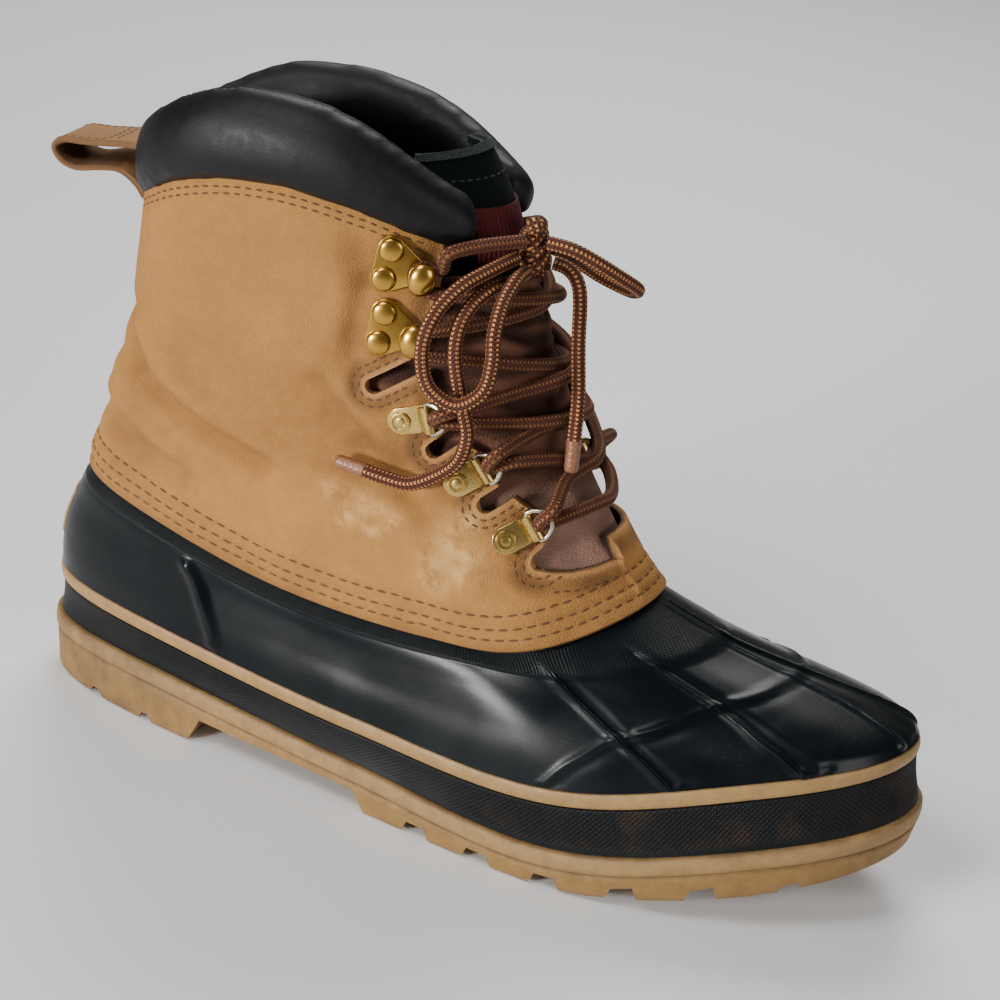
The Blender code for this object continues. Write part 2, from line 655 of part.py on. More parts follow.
LACE = 4.5                  # diameter
LACE_SPACING = 11.0         # between the points of a free stretch
CROSSING_SPACING = 10.0
LACE_SIDES = 6
OVER_TONGUE = {             # height of the lace's middle above the leather's surface, at heights
    105: -1.2, 120: -1.8, 135: -0.6, 150: 1.2, 165: 3.0, 178: 4.4, 200: 4.4,
}
TURN_HEIGHT = 2.8
TURN_HOOK = HOOK_REACH + 4.1 + LACE / 2 + 0.6
TURN_CLIP = CLIP_REACH + RING_REACH + RING_WIRE + LACE / 2 + 0.5
KNOT = (153.2, -6.4, 189.6)
KNOT_HALF_AXES = (4.2, 6.0, 9.6)
KNOT_LEAN = -14.0           # degrees about Y
TO_KNOT = {                 # from the top hooks' turns to the knot
    -1: ((135, -32, 191), (141.5, -25, 193), (151.6, -13, 193.5)),
    1: ((139, 27, 184), (145.5, 18, 188.5), (152, 0.8, 192)),
}
FREE_LACE = {               # free stretches, from the knot outwards
    "bow_loop_lateral": (
        (150.5, -15.5, 188.5), (147.5, -25, 187.5), (142, -35, 184), (137.5, -41.5, 177.5),
        (135.5, -46, 169), (136.5, -47, 159.5), (140, -46.5, 153), (148, -45.5, 150),
        (155, -43.5, 155.5), (156, -41, 164), (154.5, -38, 172), (153.5, -31, 179.5),
        (154, -23, 184.5), (153.5, -13.5, 184),
    ),
    "lace_end_lateral": (
        (150.5, -19, 181), (148, -26, 181.5), (144.5, -32.5, 177.5), (143, -37.5, 171.5),
        (143.5, -40, 163.5), (146, -40.5, 154), (148.5, -40, 146), (150.5, -40, 138.5),
        (148.5, -39.5, 129.5), (142.5, -39.5, 123), (134, -39.5, 117.5), (126, -39.5, 117),
        (118.5, -39.5, 117.5),
    ),
    "bow_loop_medial": (
        (158, -8.5, 193), (166, -8, 192.5), (173.5, -4, 188.5), (179, 2, 183.5),
        (182.5, 9, 178.5), (179.5, 16, 174.5), (173.5, 19, 174), (166, 18, 176.5),
        (160, 12, 182), (155.5, 4, 187),
    ),
    "lace_end_medial": (
        (158.5, -3, 185), (162.5, -2, 184), (166.5, -3, 181.5), (169, -4.5, 176),
        (171.5, -8, 163), (175, -12, 147.5), (176.5, -15, 134.5),
    ),
}
AGLET = 5.0                 # diameter
AGLET_LENGTH = 10.0


def turning_points(side):
    """Where the lace turns on one side, from the lowest clip up to the top hook."""
    points = []
    fittings = ((CLIPS, TURN_CLIP, CLIP_BACK[side], 0), (HOOKS, TURN_HOOK, 0, HOOK_DROP[side]))
    for table, reach, back, drop in fittings:
        for x, z, tilt in sorted(table.values(), key=lambda row: row[1]):
            frame = wall_frame(SIDES[side], x - back, z - drop, math.radians(tilt))
            points.append(np.array(frame @ Vector((reach, 0, TURN_HEIGHT))))
    return points


def over_tongue(a, b):
    """The middle of a stretch between two turns, which rides over the front of the tongue."""
    angles = math.pi + np.linspace(-1.2, 1.2, 49)
    middle = []
    for share, lowest in ((0.25, 0.8), (0.5, -9), (0.75, 0.8)):
        x, y, z = a + (b - a) * share
        angle = float(np.interp(y, [wall(angle, z)[1] for angle in angles], angles))
        height = np.interp(z, list(OVER_TONGUE), list(OVER_TONGUE.values()))
        middle.append(wall(angle, z) + wall_normal(angle, z) * max(height, lowest))
    return middle


def crossings_route(first, turns, start):
    """One half of the lace, from the lowest turn on one side up to the knot."""
    route = [start]
    sign = -first
    for level in range(1, 5):
        turn = turns[sign][level]
        route += over_tongue(route[-1], turn) + [turn]
        sign = -sign
    return [*route, *TO_KNOT[-sign]]


def lace_crossings(look):
    """The laced part as one solid: two zigzags and the bar at the bottom."""
    turns = {sign: turning_points(side) for side, sign in SIDES.items()}
    bar = [turns[1][0], *over_tongue(turns[1][0], turns[-1][0])]
    halves = []
    for name, first in (("lace_crossings", -1), ("lace_other_half", 1)):
        route = crossings_route(first, turns, turns[first][0])
        if first < 0:
            route = bar + route
        path = smooth_route(route, CROSSING_SPACING)
        bm = bmesh.new()
        sweep(bm, tube_sections(path, LACE / 2, LACE_SIDES))
        halves.append(finish(name, bm, look))
    combine(halves[0], halves[1], "UNION")


def cord(name, points, diameter, look):
    """A plain tube along points."""
    curve = bpy.data.curves.new(name, "CURVE")
    curve.dimensions = "3D"
    curve.bevel_depth = diameter / 2 * MM
    curve.bevel_resolution = 2
    curve.use_fill_caps = True
    spline = curve.splines.new("POLY")
    spline.points.add(len(points) - 1)
    for spot, point in zip(spline.points, (np.asarray(points) - ORIGIN) * MM):
        spot.co = (*point, 1.0)
    curve.materials.append(look)
    made = bpy.data.objects.new(name, curve)
    bpy.context.scene.collection.objects.link(made)


def free_lace(look, tip_look):
    lean = Matrix.Translation(KNOT) @ Matrix.Rotation(math.radians(KNOT_LEAN), 4, "Y")
    dome("lace_knot", (0, 0, 0), KNOT_HALF_AXES, look, lean, segments=12)
    for name, route in FREE_LACE.items():
        path = smooth_route(route, LACE_SPACING)
        cord(name, path, LACE, look)
        if "end" in name:
            way = (path[-1] - path[-2]) / np.linalg.norm(path[-1] - path[-2])
            tip = [path[-1] + way * GAP, path[-1] + way * (GAP + AGLET_LENGTH)]
            cord(name.replace("lace_end", "aglet"), tip, AGLET, tip_look)


def clear_scene():
    for item in list(bpy.data.objects):
        bpy.data.objects.remove(item, do_unlink=True)


def main():
    clear_scene()
    black = material("black_rubber", (0.012, 0.018, 0.022), 0.35)
    outsole(material("gum_rubber", (0.45, 0.30, 0.14), 0.6))
    foxing_band(black)
    foxing_stripe(material("stripe_rubber", (0.47, 0.33, 0.16), 0.6))
    rubber_shell(black)
    insole(material("insole_felt", (0.10, 0.10, 0.09), 0.95))
    leather_shaft(material("nubuck_leather", (0.47, 0.29, 0.14), 0.85))
    tongue(material("gusset_leather", (0.16, 0.09, 0.07), 0.8))
    padded_collar(material("collar_leather", (0.013, 0.013, 0.017), 0.45))
    pull_loop(material("loop_leather", (0.42, 0.28, 0.15), 0.85))
    hardware(material("brass", (0.62, 0.45, 0.16), 0.3, 1.0))
    lace = material("lace_cord", (0.17, 0.055, 0.025), 0.8)
    lace_crossings(lace)
    free_lace(lace, material("aglet_plastic", (0.35, 0.18, 0.12), 0.35))


main()
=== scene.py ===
"""Duck boot for the right foot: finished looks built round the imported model.

Lengths are millimetres in the last's own frame (X from heel to toe, Y from the lateral to the
medial side, Z up from the floor) until a piece is placed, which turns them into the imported
model's metres.
"""
import logging
import math
from dataclasses import dataclass, field, replace
from enum import Enum
from functools import lru_cache

import bmesh
import bpy
import numpy as np
from mathutils import Matrix, Vector
from mathutils.bvhtree import BVHTree


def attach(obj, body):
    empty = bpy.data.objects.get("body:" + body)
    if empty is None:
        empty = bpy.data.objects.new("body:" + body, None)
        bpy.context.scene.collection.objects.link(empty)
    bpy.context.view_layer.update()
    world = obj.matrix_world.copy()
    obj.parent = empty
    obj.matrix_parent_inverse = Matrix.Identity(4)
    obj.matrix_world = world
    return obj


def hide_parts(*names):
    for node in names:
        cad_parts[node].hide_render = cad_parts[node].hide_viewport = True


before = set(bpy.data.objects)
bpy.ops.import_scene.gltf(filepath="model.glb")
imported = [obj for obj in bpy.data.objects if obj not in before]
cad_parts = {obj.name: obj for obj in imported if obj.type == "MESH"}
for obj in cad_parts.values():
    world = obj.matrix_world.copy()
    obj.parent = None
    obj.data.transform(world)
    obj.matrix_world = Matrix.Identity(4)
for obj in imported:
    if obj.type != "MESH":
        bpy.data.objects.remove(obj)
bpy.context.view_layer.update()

LOG = logging.getLogger("duck_boot")
MM = 0.001                  # metres in a millimetre
GAP = 0.3                   # space left between neighbouring pieces
LAST_ORIGIN = np.array((145.15, -3.22, 0.0))
TURN = 2 * math.pi
FAR = 90.0                  # well outside the boot, to either side

Array = np.ndarray
Piece = bpy.types.Object
Socket = bpy.types.NodeSocket
Group = bpy.types.NodeTree
Material = bpy.types.Material
BMesh = bmesh.types.BMesh


class Side(Enum):
    """The boot's two sides, with the sign of their Y."""

    LATERAL = -1
    MEDIAL = 1

    @property
    def word(self) -> str:
        """The side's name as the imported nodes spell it."""
        return self.name.lower()


# ---- curves

def smooth_step(t: Array) -> Array:
    """Ease from 0 to 1."""
    t = np.clip(t, 0, 1)
    return t * t * (3 - 2 * t)


def bell(distance: Array, width: float) -> Array:
    """A soft hump, 1 at no distance."""
    return np.exp(-(distance / width) ** 2)


def catmull(keys: Array, at: Array) -> Array:
    """Smooth curve through equally spaced keys.

    Args:
        keys: points or whole rows, first axis along the curve.
        at: places along the curve, 0 at the first key and 1 more at each next one.

    Returns:
        The values at those places.
    """
    keys = np.asarray(keys, float)
    padded = np.concatenate((2 * keys[:1] - keys[1:2], keys, 2 * keys[-1:] - keys[-2:-1]))
    cell = np.clip(at.astype(int), 0, len(keys) - 2)
    t = (at - cell).reshape((-1,) + (1,) * (keys.ndim - 1))
    a, b, c, d = (padded[cell + k] for k in range(4))
    return 0.5 * (2 * b + (c - a) * t + (2 * a - 5 * b + 4 * c - d) * t * t
                  + (3 * b - a - 3 * c + d) * t ** 3)


def lengths_along(path: Array) -> Array:
    """Distance along a path at each of its points."""
    return np.concatenate(((0,), np.cumsum(np.linalg.norm(np.diff(path, axis=0), axis=1))))


def resample(path: Array, spacing: float) -> Array:
    """Points about a spacing apart along a path.

    Args:
        path: points of the path.
        spacing: distance wanted between points.

    Returns:
        The new points.
    """
    marks = lengths_along(path)
    count = max(2, round(marks[-1] / spacing)) + 1
    at = np.linspace(0, marks[-1], count)
    return np.stack([np.interp(at, marks, column) for column in path.T], axis=1)


def smooth_route(route: Array, spacing: float) -> Array:
    """Points about a spacing apart on a smooth curve through a route's own points."""
    dense = catmull(np.asarray(route, float), np.linspace(0, len(route) - 1, 20 * len(route)))
    return resample(dense, spacing)


def distance_to(points: Array, line: Array) -> Array:
    """Distance from each point to a line of straight pieces, in as many axes as they have.

    Args:
        points: the points.
        line: corners of the line.

    Returns:
        The distances.
    """
    nearest = np.full(points.shape[:-1], np.inf)
    for a, b in zip(line, line[1:]):
        way = b - a
        t = np.clip(((points - a) @ way) / max(way @ way, 1e-9), 0, 1)
        nearest = np.minimum(nearest, np.linalg.norm(points - a - t[..., None] * way, axis=-1))
    return nearest


def arc(centre: tuple, radius: float, start: float, stop: float, steps: int) -> list:
    """Points of an arc, in degrees."""
    turns = np.radians(np.linspace(start, stop, steps + 1))
    return [(centre[0] + radius * math.cos(t), centre[1] + radius * math.sin(t)) for t in turns]


def unit(ways: Array) -> Array:
    """Directions made one long."""
    return ways / np.maximum(np.linalg.norm(ways, axis=-1, keepdims=True), 1e-9)


def round_ahead(loop: Array, axis: int = 0) -> Array:
    """Which way a closed line heads at each of its points."""
    return np.roll(loop, -1, axis=axis) - np.roll(loop, 1, axis=axis)


def outwards(ahead: Array) -> Array:
    """Level directions out of a line round the boot that heads some ways."""
    return unit(np.stack((ahead[:, 1], -ahead[:, 0], np.zeros(len(ahead))), axis=1))


def read_columns(rows: Array, marks: Array, at: float) -> Array:
    """Where each column of some rows passes a mark."""
    return np.array([[np.interp(at, marks[:, j], rows[:, j, axis]) for axis in range(3)]
                     for j in range(rows.shape[1])])


def heights_up(rows: Array) -> Array:
    """Distance up each column of some rows, from the first row."""
    steps = np.linalg.norm(np.diff(rows, axis=0), axis=2)
    return np.cumsum(np.vstack((np.zeros(rows.shape[1]), steps)), axis=0)


def surface_normals(rows: Array, closed: bool = True) -> Array:
    """Outward normals of a surface through rows that run round the boot."""
    ahead = round_ahead(rows, 1) if closed else np.gradient(rows, axis=1)
    return unit(np.cross(ahead, np.gradient(rows, axis=0)))


def inset(loop: Array, distance: float, lift: float = 0.0) -> Array:
    """A loop round the boot moved inwards in plan, and raised."""
    return loop - outwards(round_ahead(loop)) * distance + np.array((0, 0, lift))


# ---- the last

@dataclass(frozen=True)
class Level:
    """One closed line round the boot: its ends, its heights and its half widths at the stations."""

    back: float
    front: float
    heights: tuple      # back, heel, waist, ball, toe, front
    lateral: tuple      # heel, waist, ball, toe
    medial: tuple       # heel, waist, ball, toe
    tip: float          # how far the front end lies to the medial side
    drop: float = 0.0   # how much lower the medial side lies half way along


LEVELS = {
    "seam": Level(-3, 302, (21.5, 22, 17, 15, 30, 38),
                  (34, 46.5, 55.5, 41.5), (34, 37, 50, 37), -2),
    "stripe_low": Level(-1.5, 297.5, (34.5, 34, 27, 30.5, 46.5, 54.5),
                        (34, 43.5, 53.5, 38.5), (33.5, 36, 48.5, 34), -2),
    "stripe_high": Level(-2, 297, (40, 39.5, 32.5, 36, 52, 59.5),
                         (34.5, 43.5, 53.5, 38), (33.8, 36, 48.5, 33.5), -2),
    "shell_1": Level(-1.8, 293.5, (49, 47, 40.5, 44.5, 57.5, 63),
                     (34.5, 42, 51.5, 36), (33.5, 35, 46.5, 31), -2),
    "shell_2": Level(-0.5, 283, (58, 55.5, 47.5, 52, 61, 66),
                     (34, 39.8, 48.5, 34), (33, 34, 43, 28.5), -2),
    "shell_3": Level(2.5, 260, (67, 64, 54.5, 58.5, 64.5, 70),
                     (33, 37.8, 45, 34), (32.2, 33.5, 39.5, 27), -1.5),
    "shell_4": Level(5.5, 230, (75, 71.5, 60.5, 63.5, 69, 75),
                     (32.2, 36.5, 41.5, 35.5), (31.5, 33, 36.5, 27.5), -1),
    "hem": Level(7.5, 207.5, (81, 78, 67, 67, 74, 84.5),
                 (31.8, 36, 39.5, 37), (31.2, 33, 35.5, 30), 0),
    "shaft_1": Level(8, 200, (87, 84.5, 73.5, 73.5, 81, 93),
                     (31.8, 35.5, 38, 35), (31.2, 32.8, 35, 30), 0),
    "shaft_2": Level(11, 193, (95, 93.5, 85, 85.5, 93, 103),
                     (32, 35, 36.5, 32), (31.4, 33, 34, 28.5), 0),
    "shaft_3": Level(14.5, 185, (105.5, 105, 100, 101.5, 108, 115),
                     (32.2, 35, 35.5, 30), (31.8, 33.5, 34, 27.5), 0),
    "shaft_4": Level(17, 176.5, (119, 119, 116.5, 118, 123.5, 129),
                     (32.5, 35.5, 35, 28.5), (32.2, 34.5, 34, 27), 0),
    "shaft_5": Level(19, 168, (134, 135, 134.5, 136, 140.5, 145),
                     (33, 36.5, 35, 27.5), (32.8, 36, 34.5, 26.5), 0),
    "shaft_6": Level(20.5, 159, (150, 152.5, 154, 155, 158.5, 162),
                     (33.5, 37.5, 35, 26.5), (33.4, 37.2, 34.8, 26), 0),
    "shaft_7": Level(22.2, 150.5, (165, 170, 174.5, 173.5, 174, 177),
                     (34, 38.5, 35, 25), (34, 38.3, 35, 25), 0, 3),
    "shaft_top": Level(23.2, 146, (178.5, 192, 201.5, 199, 191.5, 188),
                       (34, 39, 35.5, 24.5), (34, 39, 35.5, 24.5), 0, 6),
    "tongue_low": Level(24, 147, (180, 182, 184, 185, 186, 187),
                        (24, 27, 24, 17), (24, 27, 24, 17), 0),
    "tongue_mid": Level(24, 141, (190, 194, 198, 200, 201, 202),
                        (23, 25, 22, 15.5), (23, 25, 22, 15.5), 0),
    "tongue_top": Level(24, 130.5, (203, 206, 209, 211.5, 214, 217),
                        (22, 24, 22, 15.5), (22, 24, 22, 15.5), 0),
}
SHELL = ("shell_1", "shell_2", "shell_3", "shell_4")
SHAFT = ("hem", "shaft_1", "shaft_2", "shaft_3", "shaft_4", "shaft_5", "shaft_6", "shaft_7",
         "shaft_top")


@dataclass(frozen=True)
class Last:
    """The boot's own form, which every piece is laid on."""

    stations: tuple = (0.0, 0.15, 0.42, 0.68, 0.88, 1.0)
    heel_roundness: float = 0.72
    toe_roundness: float = 1.0

    def along(self, values: tuple, s: Array) -> Array:
        """Smooth curve through six station values, read at the fractions s.

        Args:
            values: a value for each station.
            s: fractions of the length.

        Returns:
            The values at the fractions.
        """
        stations, values = np.array(self.stations), np.asarray(values, float)
        slope = np.gradient(values, stations)
        cell = np.clip(np.searchsorted(stations, s, side="right") - 1, 0, len(stations) - 2)
        width = stations[cell + 1] - stations[cell]
        t = (s - stations[cell]) / width
        rise, fall = slope[cell] * width, slope[cell + 1] * width
        return (values[cell] * (1 + 2 * t) * (1 - t) ** 2 + values[cell + 1] * t * t * (3 - 2 * t)
                + rise * t * (1 - t) ** 2 - fall * t * t * (1 - t))

    def end_rounding(self, s: Array) -> Array:
        """Share of the full width at the fractions s: none at a level's two ends."""
        power = self.heel_roundness + (self.toe_roundness - self.heel_roundness) * s
        return (2 * np.sqrt(np.clip(s * (1 - s), 0, 1))) ** power

    def half_width(self, widths: tuple, s: Array) -> Array:
        """Half width of a level, rounded off at both ends."""
        full = np.asarray(widths) / self.end_rounding(np.array(self.stations[1:-1]))
        return self.along((full[0], *full, full[-1]), s) * self.end_rounding(s)

    def level(self, name: str, angle: Array) -> Array:
        """Points of a level at angles from the back (0) by the lateral side to the front (pi).

        Args:
            name: the level's name.
            angle: angles round the boot.

        Returns:
            The points.
        """
        level = LEVELS[name]
        angle = np.asarray(angle, float) % TURN
        s = (1 - np.cos(angle)) / 2
        centre = level.tip * smooth_step((s - 0.55) / 0.45)
        lateral = centre - self.half_width(level.lateral, s)
        medial = centre + self.half_width(level.medial, s)
        on_lateral = angle <= math.pi
        x = level.back + (level.front - level.back) * s
        z = self.along(level.heights, s) + np.where(on_lateral, 0, level.drop * np.sin(angle))
        return np.stack((x, np.where(on_lateral, lateral, medial), z), axis=-1)

    def surface(self, names: tuple, angle: Array, rise: Array) -> Array:
        """Rows of points on the smooth surface through some levels; rise counts levels."""
        return catmull(np.array([self.level(name, angle) for name in names]), rise)

    def above(self, names: tuple, angle: Array, distance: float) -> Array:
        """Points a distance up the surface from the first level, measured along it."""
        rows = self.surface(names, angle, np.linspace(0, len(names) - 1, 60))
        return read_columns(rows, heights_up(rows), distance)

    def walls(self, angles: Array, z: float) -> Array:
        """Points of the leather's outside at angles round the boot and one height."""
        columns = np.array([self.level(name, angles) for name in SHAFT])
        return read_columns(columns, columns[..., 2], z)

    def wall(self, angle: float, z: float) -> Array:
        """Point of the leather's outside at an angle round the boot and a height."""
        return self.walls(np.array([angle]), z)[0]

    def wall_angle(self, side: Side, x: float, z: float) -> float:
        """Angle at which a side of the wall passes a distance from the heel.

        Args:
            side: the boot's side.
            x: distance from the heel.
            z: height.

        Returns:
            The angle.
        """
        angles = np.linspace(0.3, math.pi, 60)
        found = float(np.interp(x, self.walls(angles, z)[:, 0], angles))
        return found if side is Side.LATERAL else TURN - found

    def wall_normal(self, angle: float, z: float) -> Array:
        """Outward normal of the leather there."""
        ahead = self.wall(angle + 0.02, z) - self.wall(angle - 0.02, z)
        return unit(np.cross(ahead, self.wall(angle, z + 1) - self.wall(angle, z - 1)))

    def wall_frame(self, side: Side, x: float, z: float, tilt: float) -> Matrix:
        """Matrix of a flat fitting laid on the leather: X along it at a tilt, Z outwards.

        Args:
            side: side of the boot.
            x: distance from the heel.
            z: height.
            tilt: turn of its length up from level.

        Returns:
            The matrix, in millimetres.
        """
        angle = self.wall_angle(side, x, z)
        point, normal = self.wall(angle, z), self.wall_normal(angle, z)
        nearby = [self.wall(angle - side.value * turn, z + rise)
                  for turn in (-0.08, 0.08, 0.16) for rise in (-8, -4, 0, 4, 8)]
        lift = 1.5 * GAP + max(0, *((place - point) @ normal for place in nearby))
        out = Vector(normal)
        along_x = Vector((math.cos(tilt), 0, math.sin(tilt)))
        along_x = (along_x - out * along_x.dot(out)).normalized()
        turn = Matrix((along_x, out.cross(along_x), out)).transposed().to_4x4()
        return Matrix.Translation(Vector(point) + out * lift) @ turn


LAST = Last()


# ---- meshes

def place(points: Array) -> Array:
    """Millimetres of the last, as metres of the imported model."""
    return (np.asarray(points, float) - LAST_ORIGIN) * MM


def link(name: str, mesh: bpy.types.Mesh) -> Piece:
    """Put a mesh in the scene as a piece of that name.

    Args:
        name: the piece's name.
        mesh: its mesh.

    Returns:
        The new piece.
    """
    made = bpy.data.objects.new(name, mesh)
    bpy.context.scene.collection.objects.link(made)
    return made


def shade(mesh: bpy.types.Mesh, sharp: float) -> None:
    """Smooth shading, with edges over an angle in degrees kept sharp."""
    mesh.shade_smooth()
    mesh.set_sharp_from_angle(angle=math.radians(sharp))


def grid_piece(name: str, points: Array, closed: bool = True, uv: Array | None = None,
               masks: dict | None = None, sharp: float = 50.0) -> Piece:
    """A surface over a grid of points, welded where its points meet.

    Args:
        name: the piece's name.
        points: rows of points in millimetres.
        closed: whether each row joins its own start.
        uv: a pattern coordinate for each point, in millimetres.
        masks: named values for each point, which the finishes read.
        sharp: angle in degrees over which an edge stays sharp.

    Returns:
        The new object, its faces pointing outwards.
    """
    layers = {key: np.asarray(value, float) for key, value in (masks or {}).items()}
    if closed:
        points = np.concatenate((points, points[:, :1]), axis=1)
        layers = {key: np.concatenate((value, value[:, :1]), axis=1)
                  for key, value in layers.items()}
    rows, columns = points.shape[:2]
    bm = bmesh.new()
    bmesh.ops.create_grid(bm, x_segments=columns - 1, y_segments=rows - 1, size=1.0)
    mesh = bpy.data.meshes.new(name)
    bm.to_mesh(mesh)
    mesh.vertices.foreach_set("co", place(points).ravel())
    for key, value in layers.items():
        mesh.attributes.new(key, "FLOAT", "POINT").data.foreach_set("value", value.ravel())
    if uv is not None:
        corners = np.empty(len(mesh.loops), int)
        mesh.loops.foreach_get("vertex_index", corners)
        flat = uv.reshape(-1, 2)[corners]
        mesh.uv_layers.new(name="Pattern").data.foreach_set("uv", flat.ravel())
    bm.clear()
    bm.from_mesh(mesh)
    bmesh.ops.remove_doubles(bm, verts=bm.verts, dist=2e-6)
    bmesh.ops.recalc_face_normals(bm, faces=bm.faces)
    bm.to_mesh(mesh)
    bm.free()
    shade(mesh, sharp)
    return link(name, mesh)


def pattern_uv(points: Array, closed: bool = True) -> Array:
    """Pattern coordinates in millimetres: along the middle row, and up the rows on average.

    Args:
        points: rows of points.
        closed: whether the rows run right round.

    Returns:
        Two coordinates for each point.
    """
    if closed:
        points = np.concatenate((points, points[:, :1]), axis=1)
    across = lengths_along(points[len(points) // 2])
    steps = np.linalg.norm(np.diff(points, axis=0), axis=2).mean(axis=1)
    up = np.concatenate(((0,), np.cumsum(steps)))
    return np.stack(np.meshgrid(across, up), axis=-1)


def tube(name: str, path: Array, radius: float | Array, sides: int = 16,
         closed: bool = False) -> Piece:
    """A round bar or cord along a path, with its pattern running along it.

    Args:
        name: the piece's name.
        path: points of its middle line, in millimetres.
        radius: its radius, or one for each point.
        sides: how many faces run round it.
        closed: whether the path joins its own start.

    Returns:
        The new object.
    """
    radius = np.broadcast_to(np.asarray(radius, float), len(path))
    ahead = unit(round_ahead(path) if closed else np.gradient(path, axis=0))
    start = (0.0, 0.0, 1.0) if abs(ahead[0][2]) < 0.9 else (1.0, 0.0, 0.0)
    across = np.cross(ahead[0], start)
    turns = np.arange(sides) * TURN / sides
    rings = []
    for point, way, r in zip(path, ahead, radius):
        across = unit(across - way * across.dot(way))
        up = np.cross(way, across)
        rings.append([point + r * (math.cos(t) * across + math.sin(t) * up) for t in turns])
    rings = np.array(rings)
    marks = lengths_along(path)
    if closed:
        rings, marks = np.concatenate((rings, rings[:1])), np.append(marks, marks[-1] + 1)
    else:
        rings = np.concatenate((rings[:1] * 0 + path[0], rings, rings[:1] * 0 + path[-1]))
        marks = np.concatenate((marks[:1], marks, marks[-1:]))
    uv = np.stack(np.meshgrid(np.linspace(0, 1, sides + 1), marks), axis=-1)[..., ::-1]
    return grid_piece(name, rings, uv=uv, sharp=60.0)


def joined(name: str, parts: list, sharp: float = 60.0) -> Piece:
    """Several pieces made one.

    Args:
        name: the new piece's name.
        parts: the pieces, which it takes the place of.
        sharp: angle in degrees over which an edge stays sharp.

    Returns:
        The new piece.
    """
    bm = bmesh.new()
    for part in parts:
        bm.from_mesh(part.data)
        bpy.data.objects.remove(part, do_unlink=True)
    mesh = bpy.data.meshes.new(name)
    bm.to_mesh(mesh)
    bm.free()
    shade(mesh, sharp)
    return link(name, mesh)


def put(bm: BMesh, name: str, at: Matrix | None = None,
        sharp: float = 35.0) -> Piece:
    """Finish a bmesh drawn in millimetres, in a fitting's own frame or the last's.

    Args:
        bm: the bmesh.
        name: the piece's name.
        at: the fitting's own frame.
        sharp: angle in degrees over which an edge stays sharp.

    Returns:
        The new piece.
    """
    if at is not None:
        bmesh.ops.transform(bm, matrix=at, verts=bm.verts)
    bmesh.ops.translate(bm, verts=bm.verts, vec=Vector(-LAST_ORIGIN))
    bmesh.ops.scale(bm, verts=bm.verts, vec=(MM, MM, MM))
    bmesh.ops.recalc_face_normals(bm, faces=bm.faces)
    mesh = bpy.data.meshes.new(name)
    bm.to_mesh(mesh)
    bm.free()
    shade(mesh, sharp)
    return link(name, mesh)


def extruded(bm: BMesh, outline: list, by: tuple) -> list:
    """Add an outline's face to a bmesh, extruded by a vector; gives the far points.

    Args:
        bm: the bmesh.
        outline: points of the face.
        by: the vector.

    Returns:
        The far points.
    """
    face = bm.faces.new([bm.verts.new(point) for point in outline])
    grown = bmesh.ops.extrude_face_region(bm, geom=[face])["geom"]
    verts = [v for v in grown if isinstance(v, bmesh.types.BMVert)]
    bmesh.ops.translate(bm, verts=verts, vec=by)
    return verts


def plate(bm: BMesh, outline: list, thick: float, round_by: float) -> None:
    """Add a flat plate with rounded edges to a bmesh: an outline in X and Y, extruded in Z.

    Args:
        bm: the bmesh.
        outline: corners as X and Y.
        thick: thickness.
        round_by: width of the rounding.
    """
    verts = extruded(bm, [(x, y, 0.0) for x, y in outline], (0, 0, thick))
    rim = [e for v in verts for e in v.link_edges if all(w in verts for w in e.verts)]
    bmesh.ops.bevel(bm, geom=list(set(rim)), offset=round_by, segments=3, profile=0.5,
                    affect="EDGES", material=-1)


def lathe(bm: BMesh, profile: list, centre: tuple, steps: int = 28) -> None:
    """Add a turned shape to a bmesh: a profile of radius and height, spun about Z.

    Args:
        bm: the bmesh.
        profile: pairs of radius and height.
        centre: place of its foot.
        steps: how many faces run round it.
    """
    verts = [bm.verts.new((centre[0] + r, centre[1], centre[2] + z)) for r, z in profile]
    edges = [bm.edges.new(pair) for pair in zip(verts, verts[1:])]
    bmesh.ops.spin(bm, geom=verts + edges, cent=centre, axis=(0, 0, 1), angle=TURN, steps=steps,
                   use_merge=True)
    bmesh.ops.remove_doubles(bm, verts=bm.verts, dist=1e-4)


def bake_modifiers(piece: Piece) -> None:
    """Replace a piece's mesh by what its modifiers make of it.

    Args:
        piece: the piece.
    """
    bpy.context.view_layer.update()
    shown = piece.evaluated_get(bpy.context.evaluated_depsgraph_get())
    mesh = bpy.data.meshes.new_from_object(shown)
    piece.modifiers.clear()
    piece.data = mesh


def side_prism(name: str, outline: list, low: float = -60.0, high: float = 60.0) -> Piece:
    """A cutter through the boot: an outline in X and Z, extruded along Y between two places.

    Args:
        name: the cutter's name.
        outline: corners as X and Z.
        low: Y of its near end.
        high: Y of its far end.

    Returns:
        The cutter.
    """
    bm = bmesh.new()
    extruded(bm, [(x, low, z) for x, z in outline], (0, high - low, 0))
    return put(bm, name)


def cut(piece: Piece, cutters: list) -> None:
    """Take the cutters' volume out of a piece, and remove them.

    Args:
        piece: the piece.
        cutters: closed pieces.
    """
    for number, cutter in enumerate(cutters):
        modifier = piece.modifiers.new(f"cut_{number}", "BOOLEAN")
        modifier.operation = "DIFFERENCE"
        modifier.solver = "MANIFOLD"
        modifier.material_mode = "TRANSFER"
        modifier.object = cutter
    bake_modifiers(piece)
    for cutter in cutters:
        bpy.data.objects.remove(cutter, do_unlink=True)


def piece_points(piece: Piece) -> Array:
    """A piece's points in millimetres of the last.

    Args:
        piece: the piece.

    Returns:
        The points.
    """
    points = np.empty(len(piece.data.vertices) * 3)
    piece.data.vertices.foreach_get("co", points)
    return points.reshape(-1, 3) / MM + LAST_ORIGIN


